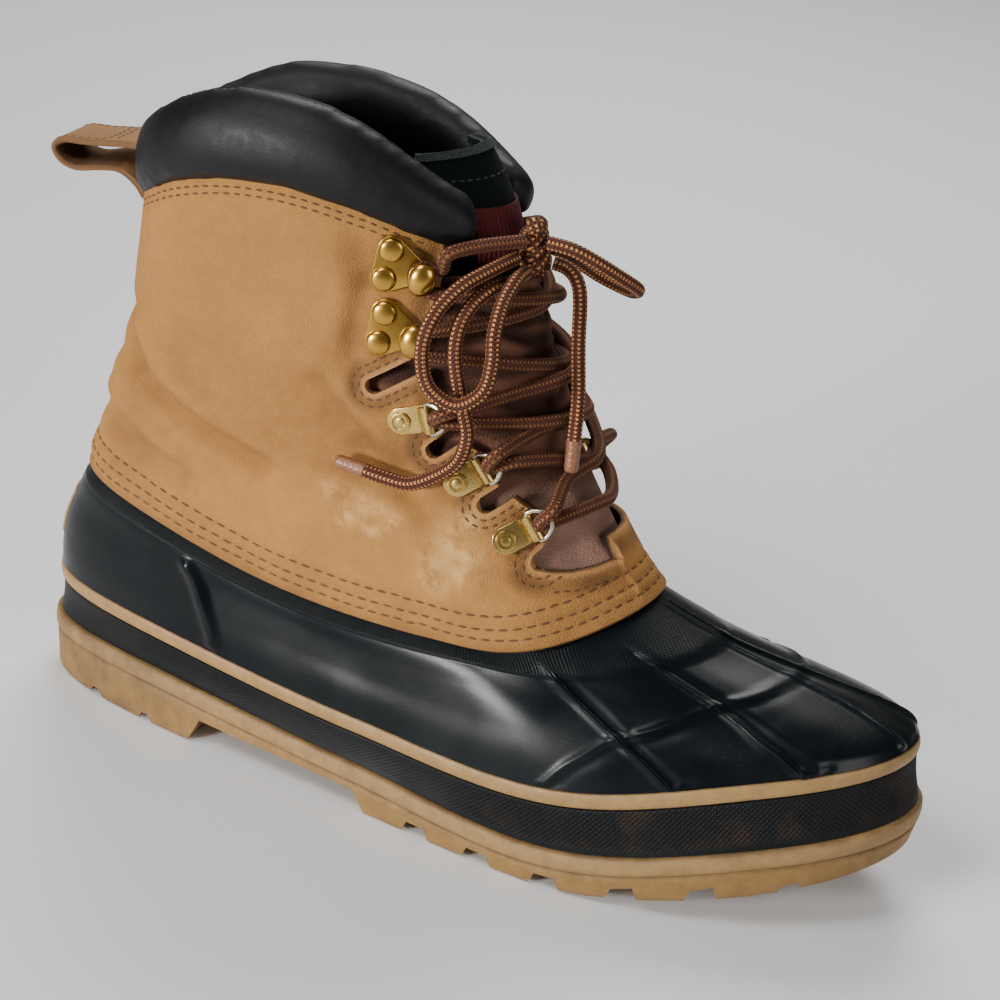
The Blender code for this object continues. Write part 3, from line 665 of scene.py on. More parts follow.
def mark(piece: Piece, name: str, values: Array) -> None:
    """Store a value on each point of a piece for its finish."""
    layer = piece.data.attributes.get(name) or piece.data.attributes.new(name, "FLOAT", "POINT")
    layer.data.foreach_set("value", np.asarray(values, float).ravel())


class Skin:
    """A finished piece's surface, asked for places and directions in millimetres."""

    def __init__(self, piece: Piece) -> None:
        """Read the piece's mesh.

        Args:
            piece: the piece.
        """
        mesh = piece.data
        points = [v.co / MM + Vector(LAST_ORIGIN) for v in mesh.vertices]
        self.tree = BVHTree.FromPolygons(points, [tuple(p.vertices) for p in mesh.polygons])

    def nearest(self, points: Array) -> tuple[Array, Array]:
        """The surface's nearest places to some points, and its normals there."""
        found = [self.tree.find_nearest(Vector(point))[:2] for point in points]
        return np.array([f[0] for f in found]), np.array([f[1] for f in found])

    def side(self, side: Side, spots: Array, limit: float = 12.0) -> tuple[Array, Array]:
        """Where lines across the boot first meet the surface, for spots given as X and Z.

        Args:
            side: side that the lines come from.
            spots: pairs of X and Z.
            limit: least distance from the middle that counts.

        Returns:
            The places, and the normals there.
        """
        places, normals = [], []
        for x, z in spots:
            start = Vector((x, side.value * FAR, z))
            place_at, normal, _, _ = self.tree.ray_cast(start, Vector((0, -side.value, 0)))
            if place_at is not None and side.value * place_at.y > limit:
                places.append(place_at)
                normals.append(normal)
        return np.array(places), np.array(normals)


# ---- stitches

@dataclass
class Stitching:
    """Rows of stitches, gathered into one joined mesh."""

    name: str
    pitch: float = 3.1
    length: float = 2.3
    radius: float = 0.42
    sunk: float = 0.12
    bm: BMesh = field(default_factory=bmesh.new)

    def row(self, places: Array, normals: Array) -> None:
        """Add a row along a path that lies on a surface.

        Args:
            places: points of the path, in millimetres.
            normals: the surface's normals at those points.
        """
        if len(places) < 3:
            return
        marks = lengths_along(places)
        ahead = np.gradient(places, axis=0)
        bm = bmesh.new()
        bmesh.ops.create_uvsphere(bm, u_segments=6, v_segments=5, radius=1.0,
                                  matrix=Matrix.Rotation(math.pi / 2, 4, "Y"))
        pattern = bpy.data.meshes.new("stitch")
        bm.to_mesh(pattern)
        bm.free()
        size = Matrix.Diagonal((self.length / 2, self.radius, self.radius * 0.8, 1))
        for at in np.arange(self.pitch / 2, marks[-1] - self.pitch / 4, self.pitch):
            spot, way, up = (Vector([np.interp(at, marks, column) for column in table.T])
                             for table in (places, ahead, normals))
            way.normalize()
            side = up.normalized().cross(way).normalized()
            up = way.cross(side)
            turn = Matrix((way, side, up)).transposed().to_4x4()
            lift = Matrix.Translation(spot + up * (self.radius * 0.3 - self.sunk))
            stitch = pattern.copy()
            stitch.transform(lift @ turn @ size)
            self.bm.from_mesh(stitch)
            bpy.data.meshes.remove(stitch)
        bpy.data.meshes.remove(pattern)

    def finish(self) -> Piece:
        """The rows as one piece."""
        return put(self.bm, self.name, sharp=80.0)


# ---- finishes

class Tree:
    """Short hand for building a node tree."""

    def __init__(self, tree: Group) -> None:
        """Work on a material's or a group's tree."""
        self.tree = tree

    def node(self, kind: str, **settings: object) -> bpy.types.Node:
        """Add a node and set its own settings.

        Args:
            kind: the node's type.
            **settings: properties of the node.

        Returns:
            The node.
        """
        made = self.tree.nodes.new(kind)
        for key, value in settings.items():
            setattr(made, key, value)
        return made

    def feed(self, socket: Socket, value: object) -> None:
        """Link a socket to an input, or set the input's own value.

        Args:
            socket: the input.
            value: an output, a number or a colour.
        """
        if isinstance(value, Socket):
            self.tree.links.new(value, socket)
        elif isinstance(value, tuple) and len(value) == 3 and socket.type == "RGBA":
            socket.default_value = (*value, 1.0)
        else:
            socket.default_value = value

    def math(self, operation: str, *values: object) -> Socket:
        """A Math node's result.

        Args:
            operation: what the node does.
            *values: its inputs.

        Returns:
            Its output.
        """
        made = self.node("ShaderNodeMath", operation=operation)
        for socket, value in zip(made.inputs, values):
            self.feed(socket, value)
        return made.outputs[0]

    def times(self, first: object, second: object) -> Socket:
        """Two values multiplied."""
        return self.math("MULTIPLY", first, second)

    def plus(self, first: object, second: object) -> Socket:
        """Two values added."""
        return self.math("ADD", first, second)

    def off_middle(self, value: object) -> Socket:
        """How far a value lies from a half."""
        return self.math("ABSOLUTE", self.math("SUBTRACT", value, 0.5))

    def mix(self, factor: object, first: object, second: object) -> Socket:
        """A colour between two colours.

        Args:
            factor: share of the second.
            first: a colour.
            second: a colour.

        Returns:
            The colour between.
        """
        made = self.node("ShaderNodeMix", data_type="RGBA")
        for key, value in ((0, factor), (6, first), (7, second)):
            self.feed(made.inputs[key], value)
        return made.outputs[2]

    def layered(self, colour: object, *layers: tuple) -> Socket:
        """A colour with others laid over it, each with where it lies and how strongly.

        Args:
            colour: the colour below.
            *layers: where a colour lies, how strongly, and the colour.

        Returns:
            The colour on top.
        """
        for where, share, over in layers:
            colour = self.mix(self.times(where, share), colour, over)
        return colour

    def level(self, value: object, low: float, high: float, bottom: float = 0.0,
              top: float = 1.0) -> Socket:
        """A value spread smoothly between two limits.

        Args:
            value: the value.
            low: where the bottom is reached.
            high: where the top is reached.
            bottom: result below.
            top: result above.

        Returns:
            The result.
        """
        made = self.node("ShaderNodeMapRange", interpolation_type="SMOOTHSTEP")
        for socket, item in zip(made.inputs, (value, low, high, bottom, top)):
            self.feed(socket, item)
        return made.outputs[0]

    def noise(self, vector: object, scale: object, detail: float = 3.0, rough: float = 0.55,
              distort: float = 0.0) -> Socket:
        """Soft random values about 0.5.

        Args:
            vector: where to read it.
            scale: how fine it is.
            detail: how many sizes it has.
            rough: strength of the small ones.
            distort: how far it is twisted.

        Returns:
            The values.
        """
        made = self.node("ShaderNodeTexNoise")
        for key, value in (("Vector", vector), ("Scale", scale), ("Detail", detail),
                           ("Roughness", rough), ("Distortion", distort)):
            self.feed(made.inputs[key], value)
        return made.outputs["Fac"]

    def cells(self, vector: object, scale: object, feature: str = "DISTANCE_TO_EDGE") -> Socket:
        """Distances in a field of random cells.

        Args:
            vector: where to read it.
            scale: how fine it is.
            feature: which distance.

        Returns:
            The distances.
        """
        made = self.node("ShaderNodeTexVoronoi", feature=feature)
        self.feed(made.inputs["Vector"], vector)
        self.feed(made.inputs["Scale"], scale)
        return made.outputs["Distance"]

    def place(self) -> Socket:
        """Object coordinates."""
        return self.node("ShaderNodeTexCoord").outputs["Object"]

    def stretch(self, vector: object, scale: tuple, turn: tuple = (0, 0, 0)) -> Socket:
        """Coordinates scaled and turned for a pattern with a direction.

        Args:
            vector: the coordinates.
            scale: factor along each axis.
            turn: turn about each axis.

        Returns:
            The new coordinates.
        """
        made = self.node("ShaderNodeMapping")
        self.feed(made.inputs["Vector"], vector)
        made.inputs["Scale"].default_value = scale
        made.inputs["Rotation"].default_value = turn
        return made.outputs[0]

    def pattern(self) -> tuple[Socket, Socket]:
        """The piece's own pattern coordinates, in millimetres.

        Returns:
            Along and up.
        """
        made = self.node("ShaderNodeSeparateXYZ")
        self.feed(made.inputs[0], self.node("ShaderNodeUVMap", uv_map="Pattern").outputs[0])
        return made.outputs[0], made.outputs[1]

    def mask(self, name: str) -> Socket:
        """A value stored on the piece's points."""
        return self.node("ShaderNodeAttribute", attribute_name=name).outputs["Fac"]

    def use(self, group: bpy.types.NodeTree, **values: object) -> dict:
        """Place a shared effect with its own values, and give its outputs by name.

        Args:
            group: the effect.
            **values: its inputs.

        Returns:
            Its outputs, by name.
        """
        made = self.node("ShaderNodeGroup", node_tree=group)
        for key, value in values.items():
            self.feed(made.inputs[key], value)
        return {socket.name: socket for socket in made.outputs}


class Effects:
    """Effects that several finishes share, each built once as a node group."""

    def __init__(self) -> None:
        """Build every group."""
        self.grain = self._grain()
        self.mottle = self._mottle()
        self.scuffs = self._scuffs()
        self.knurl = self._knurl()
        self.braid = self._braid()

    @staticmethod
    def _start(name: str, inputs: tuple) -> tuple[Tree, tuple]:
        """Make an empty group with named sockets, of which Place alone is a vector.

        Args:
            name: the group's name.
            inputs: names of its inputs.

        Returns:
            The group's tree, and its inputs in their order.
        """
        group = bpy.data.node_groups.new(name, "ShaderNodeTree")
        for label in inputs:
            kind = "NodeSocketVector" if label == "Place" else "NodeSocketFloat"
            group.interface.new_socket(label, in_out="INPUT", socket_type=kind)
        tree = Tree(group)
        entry = tree.node("NodeGroupInput")
        return tree, tuple(entry.outputs[label] for label in inputs)

    @staticmethod
    def _end(tree: Tree, **results: object) -> Group:
        """Give a group its named outputs, and close it.

        Args:
            tree: the group's tree.
            **results: what the group puts out, by name.

        Returns:
            The group.
        """
        for label in results:
            tree.tree.interface.new_socket(label, in_out="OUTPUT", socket_type="NodeSocketFloat")
        out = tree.node("NodeGroupOutput")
        for label, value in results.items():
            tree.feed(out.inputs[label], value)
        return tree.tree

    def _grain(self) -> Group:
        """Pores and fine wrinkles of leather or a moulded skin.

        Returns:
            The group.
        """
        tree, (place_at, scale) = self._start("grain", ("Place", "Scale"))
        pores = tree.level(tree.cells(place_at, scale), 0.0, 0.22)
        fine = tree.noise(place_at, tree.times(scale, 2.2), 4.0, 0.65)
        return self._end(tree, Height=tree.plus(tree.times(pores, 0.6), tree.times(fine, 0.8)))

    def _mottle(self) -> Group:
        """Cloudy variation at two sizes.

        Returns:
            The group.
        """
        tree, (place_at, scale) = self._start("mottle", ("Place", "Scale"))
        broad = tree.noise(place_at, scale, 3.0, 0.5, 0.4)
        fine = tree.noise(place_at, tree.times(scale, 9.0), 5.0, 0.7)
        return self._end(tree, Broad=tree.level(broad, 0.32, 0.68),
                         Fine=tree.level(fine, 0.3, 0.7))

    def _scuffs(self) -> Group:
        """Thin scratches in two directions and scattered specks.

        Returns:
            The group.
        """
        tree, (place_at, amount) = self._start("scuffs", ("Place", "Amount"))
        lines = [tree.level(tree.off_middle(tree.noise(tree.stretch(place_at, scale, turn),
                                                       1.0, 2.0, 0.5)), 0.0, 0.012, 1.0, 0.0)
                 for turn, scale in (((0.3, 0.9, 0.4), (55, 900, 900)),
                                     ((1.1, 0.2, 1.3), (700, 45, 700)))]
        patch = tree.level(tree.noise(place_at, 34.0, 2.0), 0.52, 0.66)
        specks = tree.level(tree.cells(place_at, 420.0, "F1"), 0.05, 0.11, 1.0, 0.0)
        few = tree.level(tree.noise(place_at, 150.0, 1.0), 0.56, 0.66)
        return self._end(
            tree, Lines=tree.times(tree.times(tree.math("MAXIMUM", *lines), patch), amount),
            Specks=tree.times(tree.times(specks, few), amount))

    @staticmethod
    def _crossed(tree: Tree, along: object, up: object) -> list:
        """Waves that run up and down a slant, crossing each other."""
        return [tree.math("ABSOLUTE", tree.math("SINE", tree.times(
            tree.math(sign, along, up), math.pi))) for sign in ("ADD", "SUBTRACT")]

    def _knurl(self) -> Group:
        """Moulded cross hatch of small diamonds, drawn in pattern coordinates.

        Returns:
            The group.
        """
        tree, (along, up, pitch) = self._start("knurl", ("Along", "Up", "Pitch"))
        waves = self._crossed(tree, tree.math("DIVIDE", tree.times(along, 0.8), pitch),
                              tree.math("DIVIDE", up, pitch))
        return self._end(tree, Height=tree.times(*waves))

    def _braid(self) -> Group:
        """A round braid: its strands' relief, and rows of light flecks along it.

        Returns:
            The group.
        """
        tree, (along, around_it, pitch) = self._start("braid", ("Along", "Around", "Pitch"))
        strands, fleck_rows = 8.0, 6.0
        run = tree.math("DIVIDE", along, pitch)
        height = tree.math("MAXIMUM", *self._crossed(tree, run, tree.times(around_it, strands)))
        offset = tree.off_middle(tree.math("FRACT", tree.times(around_it, fleck_rows)))
        stripe = tree.level(offset, 0.17, 0.24, 1.0, 0.0)
        dash = tree.off_middle(tree.math("FRACT", tree.plus(run, offset)))
        return self._end(tree, Height=height, Shade=tree.math("POWER", height, 2.0),
                         Flecks=tree.times(stripe, tree.level(dash, 0.2, 0.3, 1.0, 0.0)))


EFFECTS = Effects()


def shaded(colour: tuple, by: float) -> tuple:
    """A colour made lighter or darker."""
    return tuple(min(1.0, value * by) for value in colour)


@dataclass(frozen=True)
class Finish:
    """A surface's look. Each kind of surface draws its own colour, roughness and relief."""

    name: str
    colour: tuple
    roughness: float = 0.6
    metallic: float = 0.0
    relief: float = 0.1         # millimetres
    specular: float = 0.5

    def draw(self, tree: Tree) -> dict:
        """Nodes of the look, by the name of the shader input that each feeds."""
        return {}

    def build(self) -> Material:
        """The look as a material.

        Returns:
            The material.
        """
        made = bpy.data.materials.new(self.name)
        made.use_nodes = True
        tree = Tree(made.node_tree)
        shader = made.node_tree.nodes["Principled BSDF"]
        drawn = {"Base Color": self.colour, "Roughness": self.roughness, "Metallic": self.metallic,
                 "Specular IOR Level": self.specular, **self.draw(tree)}
        height = drawn.pop("Height", None)
        if height is not None:
            bump = tree.node("ShaderNodeBump")
            for key, value in (("Distance", self.relief * MM), ("Strength", 1.0),
                               ("Height", height)):
                tree.feed(bump.inputs[key], value)
            drawn["Normal"] = bump.outputs[0]
        for key, value in drawn.items():
            tree.feed(shader.inputs[key], value)
        return made

    @staticmethod
    def skin(tree: Tree, clouds: float, grain: float = 900.0) -> tuple[Socket, dict, Socket]:
        """Where a point lies, its clouds of colour, and the leather's grain there.

        Args:
            tree: the material's nodes.
            clouds: how fine the clouds are.
            grain: how fine the grain is.

        Returns:
            The place, the clouds by name and the grain.
        """
        spot = tree.place()
        return (spot, tree.use(EFFECTS.mottle, Place=spot, Scale=clouds),
                tree.use(EFFECTS.grain, Place=spot, Scale=grain)["Height"])


@dataclass(frozen=True)
class Nubuck(Finish):
    """Buffed leather: cloudy tan, dark where it is handled and pale where it is rubbed, with
    painted shade along its deeper creases and a painted highlight along its cut edges.
    """

    pale: tuple = (0.60, 0.335, 0.115)
    soiled_and_shaded: tuple = (0.095, 0.04, 0.015)
    # edge: painted highlight colour along the cut edges, in place of a rounded edge
    edge: tuple = (0.46, 0.22, 0.085)
    lining: tuple = (0.012, 0.010, 0.009)
    # the smudge values hold handling dirt and painted shade along the creases
    marked: bool = True         # whether the piece carries smudge, scuff and rim values

    def draw(self, tree: Tree) -> dict:
        """Mottled colour, a fine nap, marks of wear, painted crease shade and painted edge
        highlights.

        Args:
            tree: the material's nodes.

        Returns:
            What feeds each shader input, by name.
        """
        spot, clouds, grain = self.skin(tree, 26.0)
        colour = tree.layered(self.colour, (clouds["Broad"], 0.6, shaded(self.colour, 1.25)),
                              (clouds["Fine"], 0.22, shaded(self.colour, 0.62)))
        rough = tree.plus(self.roughness - 0.06, tree.times(clouds["Fine"], 0.1))
        if self.marked:
            smudge_and_shade = tree.times(tree.mask("smudge_and_shade"),
                                tree.level(tree.noise(spot, 90.0, 4.0), 0.25, 0.7, 0.5, 1.0))
            rubbed = tree.times(tree.mask("scuff"),
                                tree.level(tree.noise(spot, 170.0, 4.0, 0.65), 0.36, 0.6))
            # darker where handled, and painted shade along the deeper creases
            colour = tree.layered(colour, (smudge_and_shade, 0.88, self.soiled_and_shaded), (rubbed, 0.9, self.pale),
                                  # lighter along the cut edges: painted highlight in place of a
                                  # rounded edge
                                  (tree.mask("rim"), 0.7, self.edge),
                                  (tree.mask("lining"), 1.0, self.lining))
            rough = tree.plus(rough, tree.times(rubbed, -0.06))
        return {"Base Color": colour, "Roughness": rough, "Height": grain}


@dataclass(frozen=True)
class MouldedRubber(Finish):
    """Satin black rubber with faint scratches; a knurled zone where the piece says so."""

    knurled: bool = False
    pitch: float = 1.5
    grime: float = 0.0
    dust: tuple = (0.06, 0.058, 0.05)
    mud: tuple = (0.07, 0.035, 0.014)

    def draw(self, tree: Tree) -> dict:
        """Uneven gloss, scratches and specks, and the moulded hatch.

        Args:
            tree: the material's nodes.

        Returns:
            What feeds each shader input, by name.
        """
        spot = tree.place()
        clouds = tree.use(EFFECTS.mottle, Place=spot, Scale=30.0)
        wear = tree.use(EFFECTS.scuffs, Place=spot, Amount=1.0)
        rough = tree.plus(self.roughness, tree.times(clouds["Broad"], 0.12))
        rough = tree.plus(rough, tree.times(wear["Lines"], 0.2))
        colour = tree.layered(self.colour, (clouds["Broad"], 0.35, shaded(self.colour, 1.7)),
                              (wear["Lines"], 0.22, self.dust), (wear["Specks"], 0.35, self.dust))
        height = tree.times(tree.noise(spot, 1400.0, 3.0), 0.12)
        if self.knurled:
            along, up = tree.pattern()
            hatch = tree.use(EFFECTS.knurl, Along=along, Up=up, Pitch=self.pitch)["Height"]
            zone = tree.mask("knurl")
            height = tree.plus(height, tree.times(hatch, zone))
            dirt_and_shade = tree.times(tree.math("SUBTRACT", 1.0, hatch), zone)
            patches = tree.level(tree.noise(spot, 60.0, 3.0), 0.45, 0.62)
            colour = tree.layered(colour, (tree.times(dirt_and_shade, patches), self.grime, self.mud))
            rough = tree.plus(rough, tree.times(zone, 0.12))
        return {"Base Color": colour, "Roughness": rough, "Height": height}


@dataclass(frozen=True)
class GumRubber(Finish):
    """Matt tan rubber, a little grimy in its hollows, with painted shade where the piece's mask
    holds it, and paler along its lip.
    """

    pale: tuple = (0.345, 0.21, 0.078)
    grime: tuple = (0.075, 0.036, 0.014)
    lipped: bool = False

    def draw(self, tree: Tree) -> dict:
        """Cloudy tan with grime, painted shade and scratches.

        Args:
            tree: the material's nodes.

        Returns:
            What feeds each shader input, by name.
        """
        spot = tree.place()
        clouds = tree.use(EFFECTS.mottle, Place=spot, Scale=22.0)
        wear = tree.use(EFFECTS.scuffs, Place=spot, Amount=0.8)
        colour = tree.layered(self.colour, (clouds["Broad"], 0.4, shaded(self.colour, 0.8)))
        if self.lipped:
            # darker where the piece's mask says: grime, and painted shade round the outsole's heel
            dirt_and_shade = tree.times(tree.mask("dirt_and_shade"),
                              tree.level(tree.noise(spot, 120.0, 4.0), 0.35, 0.65, 0.3, 1.0))
            colour = tree.layered(colour, (tree.mask("lip"), 0.75, self.pale),
                                  (dirt_and_shade, 0.75, self.grime))
        colour = tree.layered(colour, (wear["Specks"], 0.5, self.grime),
                              (clouds["Fine"], 0.3, self.grime))
        return {"Base Color": colour, "Height": tree.noise(spot, 1500.0, 4.0),
                "Roughness": tree.plus(self.roughness, tree.times(clouds["Fine"], 0.12))}


@dataclass(frozen=True)
class SoftLeather(Finish):
    """Smooth dyed leather with fine wrinkles."""

    def draw(self, tree: Tree) -> dict:
        """Grain, wrinkles and an uneven polish.

        Args:
            tree: the material's nodes.

        Returns:
            What feeds each shader input, by name.
        """
        spot, clouds, grain = self.skin(tree, 40.0, 700.0)
        folds = tree.noise(tree.stretch(spot, (1.0, 1.0, 2.4)), 260.0, 3.0, 0.6, 1.2)
        return {"Height": tree.plus(tree.times(grain, 0.3), tree.times(folds, 0.9)),
                "Base Color": tree.layered(
                    self.colour, (clouds["Fine"], 0.5, shaded(self.colour, 1.5))),
                "Roughness": tree.plus(self.roughness - 0.04, tree.times(clouds["Fine"], 0.1))}


@dataclass(frozen=True)
class GussetSuede(Finish):
    """Mauve brown suede, darker up under the lacing than at the open foot of the throat."""

    shadow: tuple = (0.085, 0.036, 0.022)
    change: tuple = (0.106, 0.124)      # heights in metres

    def draw(self, tree: Tree) -> dict:
        """Cloudy suede with its nap, a painted highlight on the fold ridges and painted shade in
        their troughs.

        Args:
            tree: the material's nodes.

        Returns:
            What feeds each shader input, by name.
        """
        spot, clouds, grain = self.skin(tree, 40.0)
        height = tree.node("ShaderNodeSeparateXYZ")
        tree.feed(height.inputs[0], spot)
        colour = tree.layered(
            self.colour, (tree.level(height.outputs[2], *self.change), 1.0, self.shadow),
            (clouds["Broad"], 0.3, shaded(self.shadow, 0.9)),
            # painted highlight on the fold ridges and painted shade in their troughs
            (tree.mask("ridge"), 1.0, shaded(self.shadow, 2.8)),
            (tree.mask("trough"), 1.0, shaded(self.shadow, 0.25)))
        return {"Base Color": colour, "Height": grain}


@dataclass(frozen=True)
class LoopLeather(Finish):
    """Strap leather: tan outside, dark flesh inside and at its edges."""

    flesh: tuple = (0.08, 0.035, 0.014)

    def draw(self, tree: Tree) -> dict:
        """Outer and inner colours with a fine nap.

        Args:
            tree: the material's nodes.

        Returns:
            What feeds each shader input, by name.
        """
        _, clouds, grain = self.skin(tree, 45.0)
        colour = tree.layered(self.colour, (clouds["Broad"], 0.5, shaded(self.colour, 0.75)),
                              (tree.level(tree.mask("edge"), 0.86, 0.99), 0.55, self.flesh),
                              (tree.mask("inner"), 0.8, self.flesh))
        return {"Base Color": colour, "Height": grain}


@dataclass(frozen=True)
class FeltFinish(Finish):
    """Pressed wool."""

    def draw(self, tree: Tree) -> dict:
        """Tangled fibres.

        Args:
            tree: the material's nodes.

        Returns:
            What feeds each shader input, by name.
        """
        spot = tree.place()
        fuzz = tree.noise(spot, 700.0, 5.0, 0.7, 0.6)
        clouds = tree.use(EFFECTS.mottle, Place=spot, Scale=35.0)
        colour = tree.mix(fuzz, shaded(self.colour, 0.5), shaded(self.colour, 1.5))
        return {"Height": fuzz, "Base Color": tree.layered(
            colour, (clouds["Broad"], 0.3, shaded(self.colour, 0.6)))}


@dataclass(frozen=True)
class Cloth(Finish):
    """Woven or ribbed fabric, drawn in the piece's pattern coordinates."""

    pitch: float = 0.8
    ribbed: bool = False
    fleck: tuple = (0.2, 0.2, 0.2)

    def draw(self, tree: Tree) -> dict:
        """Threads over and under, or ribs, with painted shade where they dip and a little colour
        variation.

        Args:
            tree: the material's nodes.

        Returns:
            What feeds each shader input, by name.
        """
        spot = tree.place()
        warp, weft = (tree.math("SINE", tree.times(way, TURN / self.pitch))
                      for way in tree.pattern())
        height = warp if self.ribbed else tree.times(warp, weft)
        lift = tree.plus(0.5, tree.times(height, 0.5))
        fuzz = tree.noise(spot, 900.0, 4.0)
        # painted shade where the threads dip
        colour = tree.layered(shaded(self.colour, 0.45), (lift, 0.55, self.colour))
        return {"Base Color": tree.mix(tree.level(fuzz, 0.55, 0.75, 0.0, 0.35), colour, self.fleck),
                "Height": tree.plus(lift, tree.times(fuzz, 0.5))}


@dataclass(frozen=True)
class Brass(Finish):
    """Lacquered brass with small scratches and tarnish."""

    metallic: float = 1.0
    relief: float = 0.003
    tarnish: tuple = (0.24, 0.11, 0.02)

    def draw(self, tree: Tree) -> dict:
        """Uneven polish.

        Args:
            tree: the material's nodes.

        Returns:
            What feeds each shader input, by name.
        """
        spot = tree.place()
        clouds = tree.use(EFFECTS.mottle, Place=spot, Scale=160.0)
        wear = tree.use(EFFECTS.scuffs, Place=spot, Amount=1.0)
        rough = tree.plus(self.roughness, tree.times(clouds["Fine"], 0.05))
        return {"Height": tree.noise(spot, 500.0, 2.0),
                "Base Color": tree.layered(self.colour, (clouds["Broad"], 0.28, self.tarnish)),
                "Roughness": tree.plus(rough, tree.times(wear["Lines"], 0.1))}


@dataclass(frozen=True)
class Braid(Finish):
    """Round braided lace, brown with rows of light flecks."""

    fleck: tuple = (0.58, 0.25, 0.09)
    pitch: float = 1.35
    flecked: float = 1.0

    def draw(self, tree: Tree) -> dict:
        """The braid's relief and flecks, and worn fibres.

        Args:
            tree: the material's nodes.

        Returns:
            What feeds each shader input, by name.
        """
        along, around_it = tree.pattern()
        braid = tree.use(EFFECTS.braid, Along=along, Around=around_it, Pitch=self.pitch)
        fuzz = tree.noise(tree.place(), 1200.0, 4.0)
        colour = tree.mix(braid["Shade"], shaded(self.colour, 0.35), self.colour)
        colour = tree.layered(colour, (braid["Flecks"], self.flecked, self.fleck))
        colour = tree.mix(tree.level(fuzz, 0.5, 0.8, 0.0, 0.3), colour, shaded(self.colour, 1.9))
        return {"Base Color": colour, "Height": tree.plus(braid["Height"], tree.times(fuzz, 0.25))}


@dataclass(frozen=True)
class AgletPlastic(Finish):
    """The lace's tip: plastic drawn tight over the braid."""

    def draw(self, tree: Tree) -> dict:
        """Faint braid under a smooth skin.

        Args:
            tree: the material's nodes.

        Returns:
            What feeds each shader input, by name.
        """
        along, around_it = tree.pattern()
        braid = tree.use(EFFECTS.braid, Along=along, Around=around_it, Pitch=1.9)
        return {"Height": braid["Height"], "Base Color": tree.layered(
            shaded(self.colour, 0.7), (braid["Shade"], 0.4, self.colour))}


# ---- rubber

RUBBER = 2.3                # wall of the galosh
LEATHER = 2.2               # wall of the shaft
FOXING = 3.2                # how deep the band and the stripe reach in
SEAM_INSET = 4.9            # how far in the galosh's foot stands
LAP = 0.55                  # share of a level by which the rubber laps under the leather
TOE_SPRING = 25.0           # height of the tread under the toe
SPRING_START = 200.0        # where the tread starts to rise, from the heel
SPRING_LENGTH = 105.0


def around(count: int) -> Array:
    """Equally spaced angles round the boot."""
    return np.arange(count) * TURN / count


def tidy(piece: Piece, slot: str, look: Material, *nodes: str) -> None:
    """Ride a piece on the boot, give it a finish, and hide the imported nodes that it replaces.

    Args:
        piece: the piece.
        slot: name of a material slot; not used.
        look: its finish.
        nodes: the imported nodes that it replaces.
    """
    piece.data.materials.clear()
    piece.data.materials.append(look)
    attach(piece, "root")
    if nodes:
        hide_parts(*nodes)
    LOG.info("%s: %d faces", piece.name, len(piece.data.polygons))


def lid_rows(loop: Array, steps: int) -> Array:
    """Rows from a loop round the boot in to a line along its middle.

    Args:
        loop: points of the loop.
        steps: how many rows to make.

    Returns:
        The rows.
    """
    mirror = loop[-np.arange(len(loop)) % len(loop)]
    line = (loop + mirror) / 2
    return np.array([loop + (line - loop) * share for share in np.linspace(0, 1, steps + 1)[1:]])


def tread(x: Array) -> Array:
    """Height of the tread above the floor at distances from the heel."""
    ahead = np.maximum(0, np.asarray(x) - SPRING_START)
    return TOE_SPRING * (ahead / SPRING_LENGTH) ** 1.35


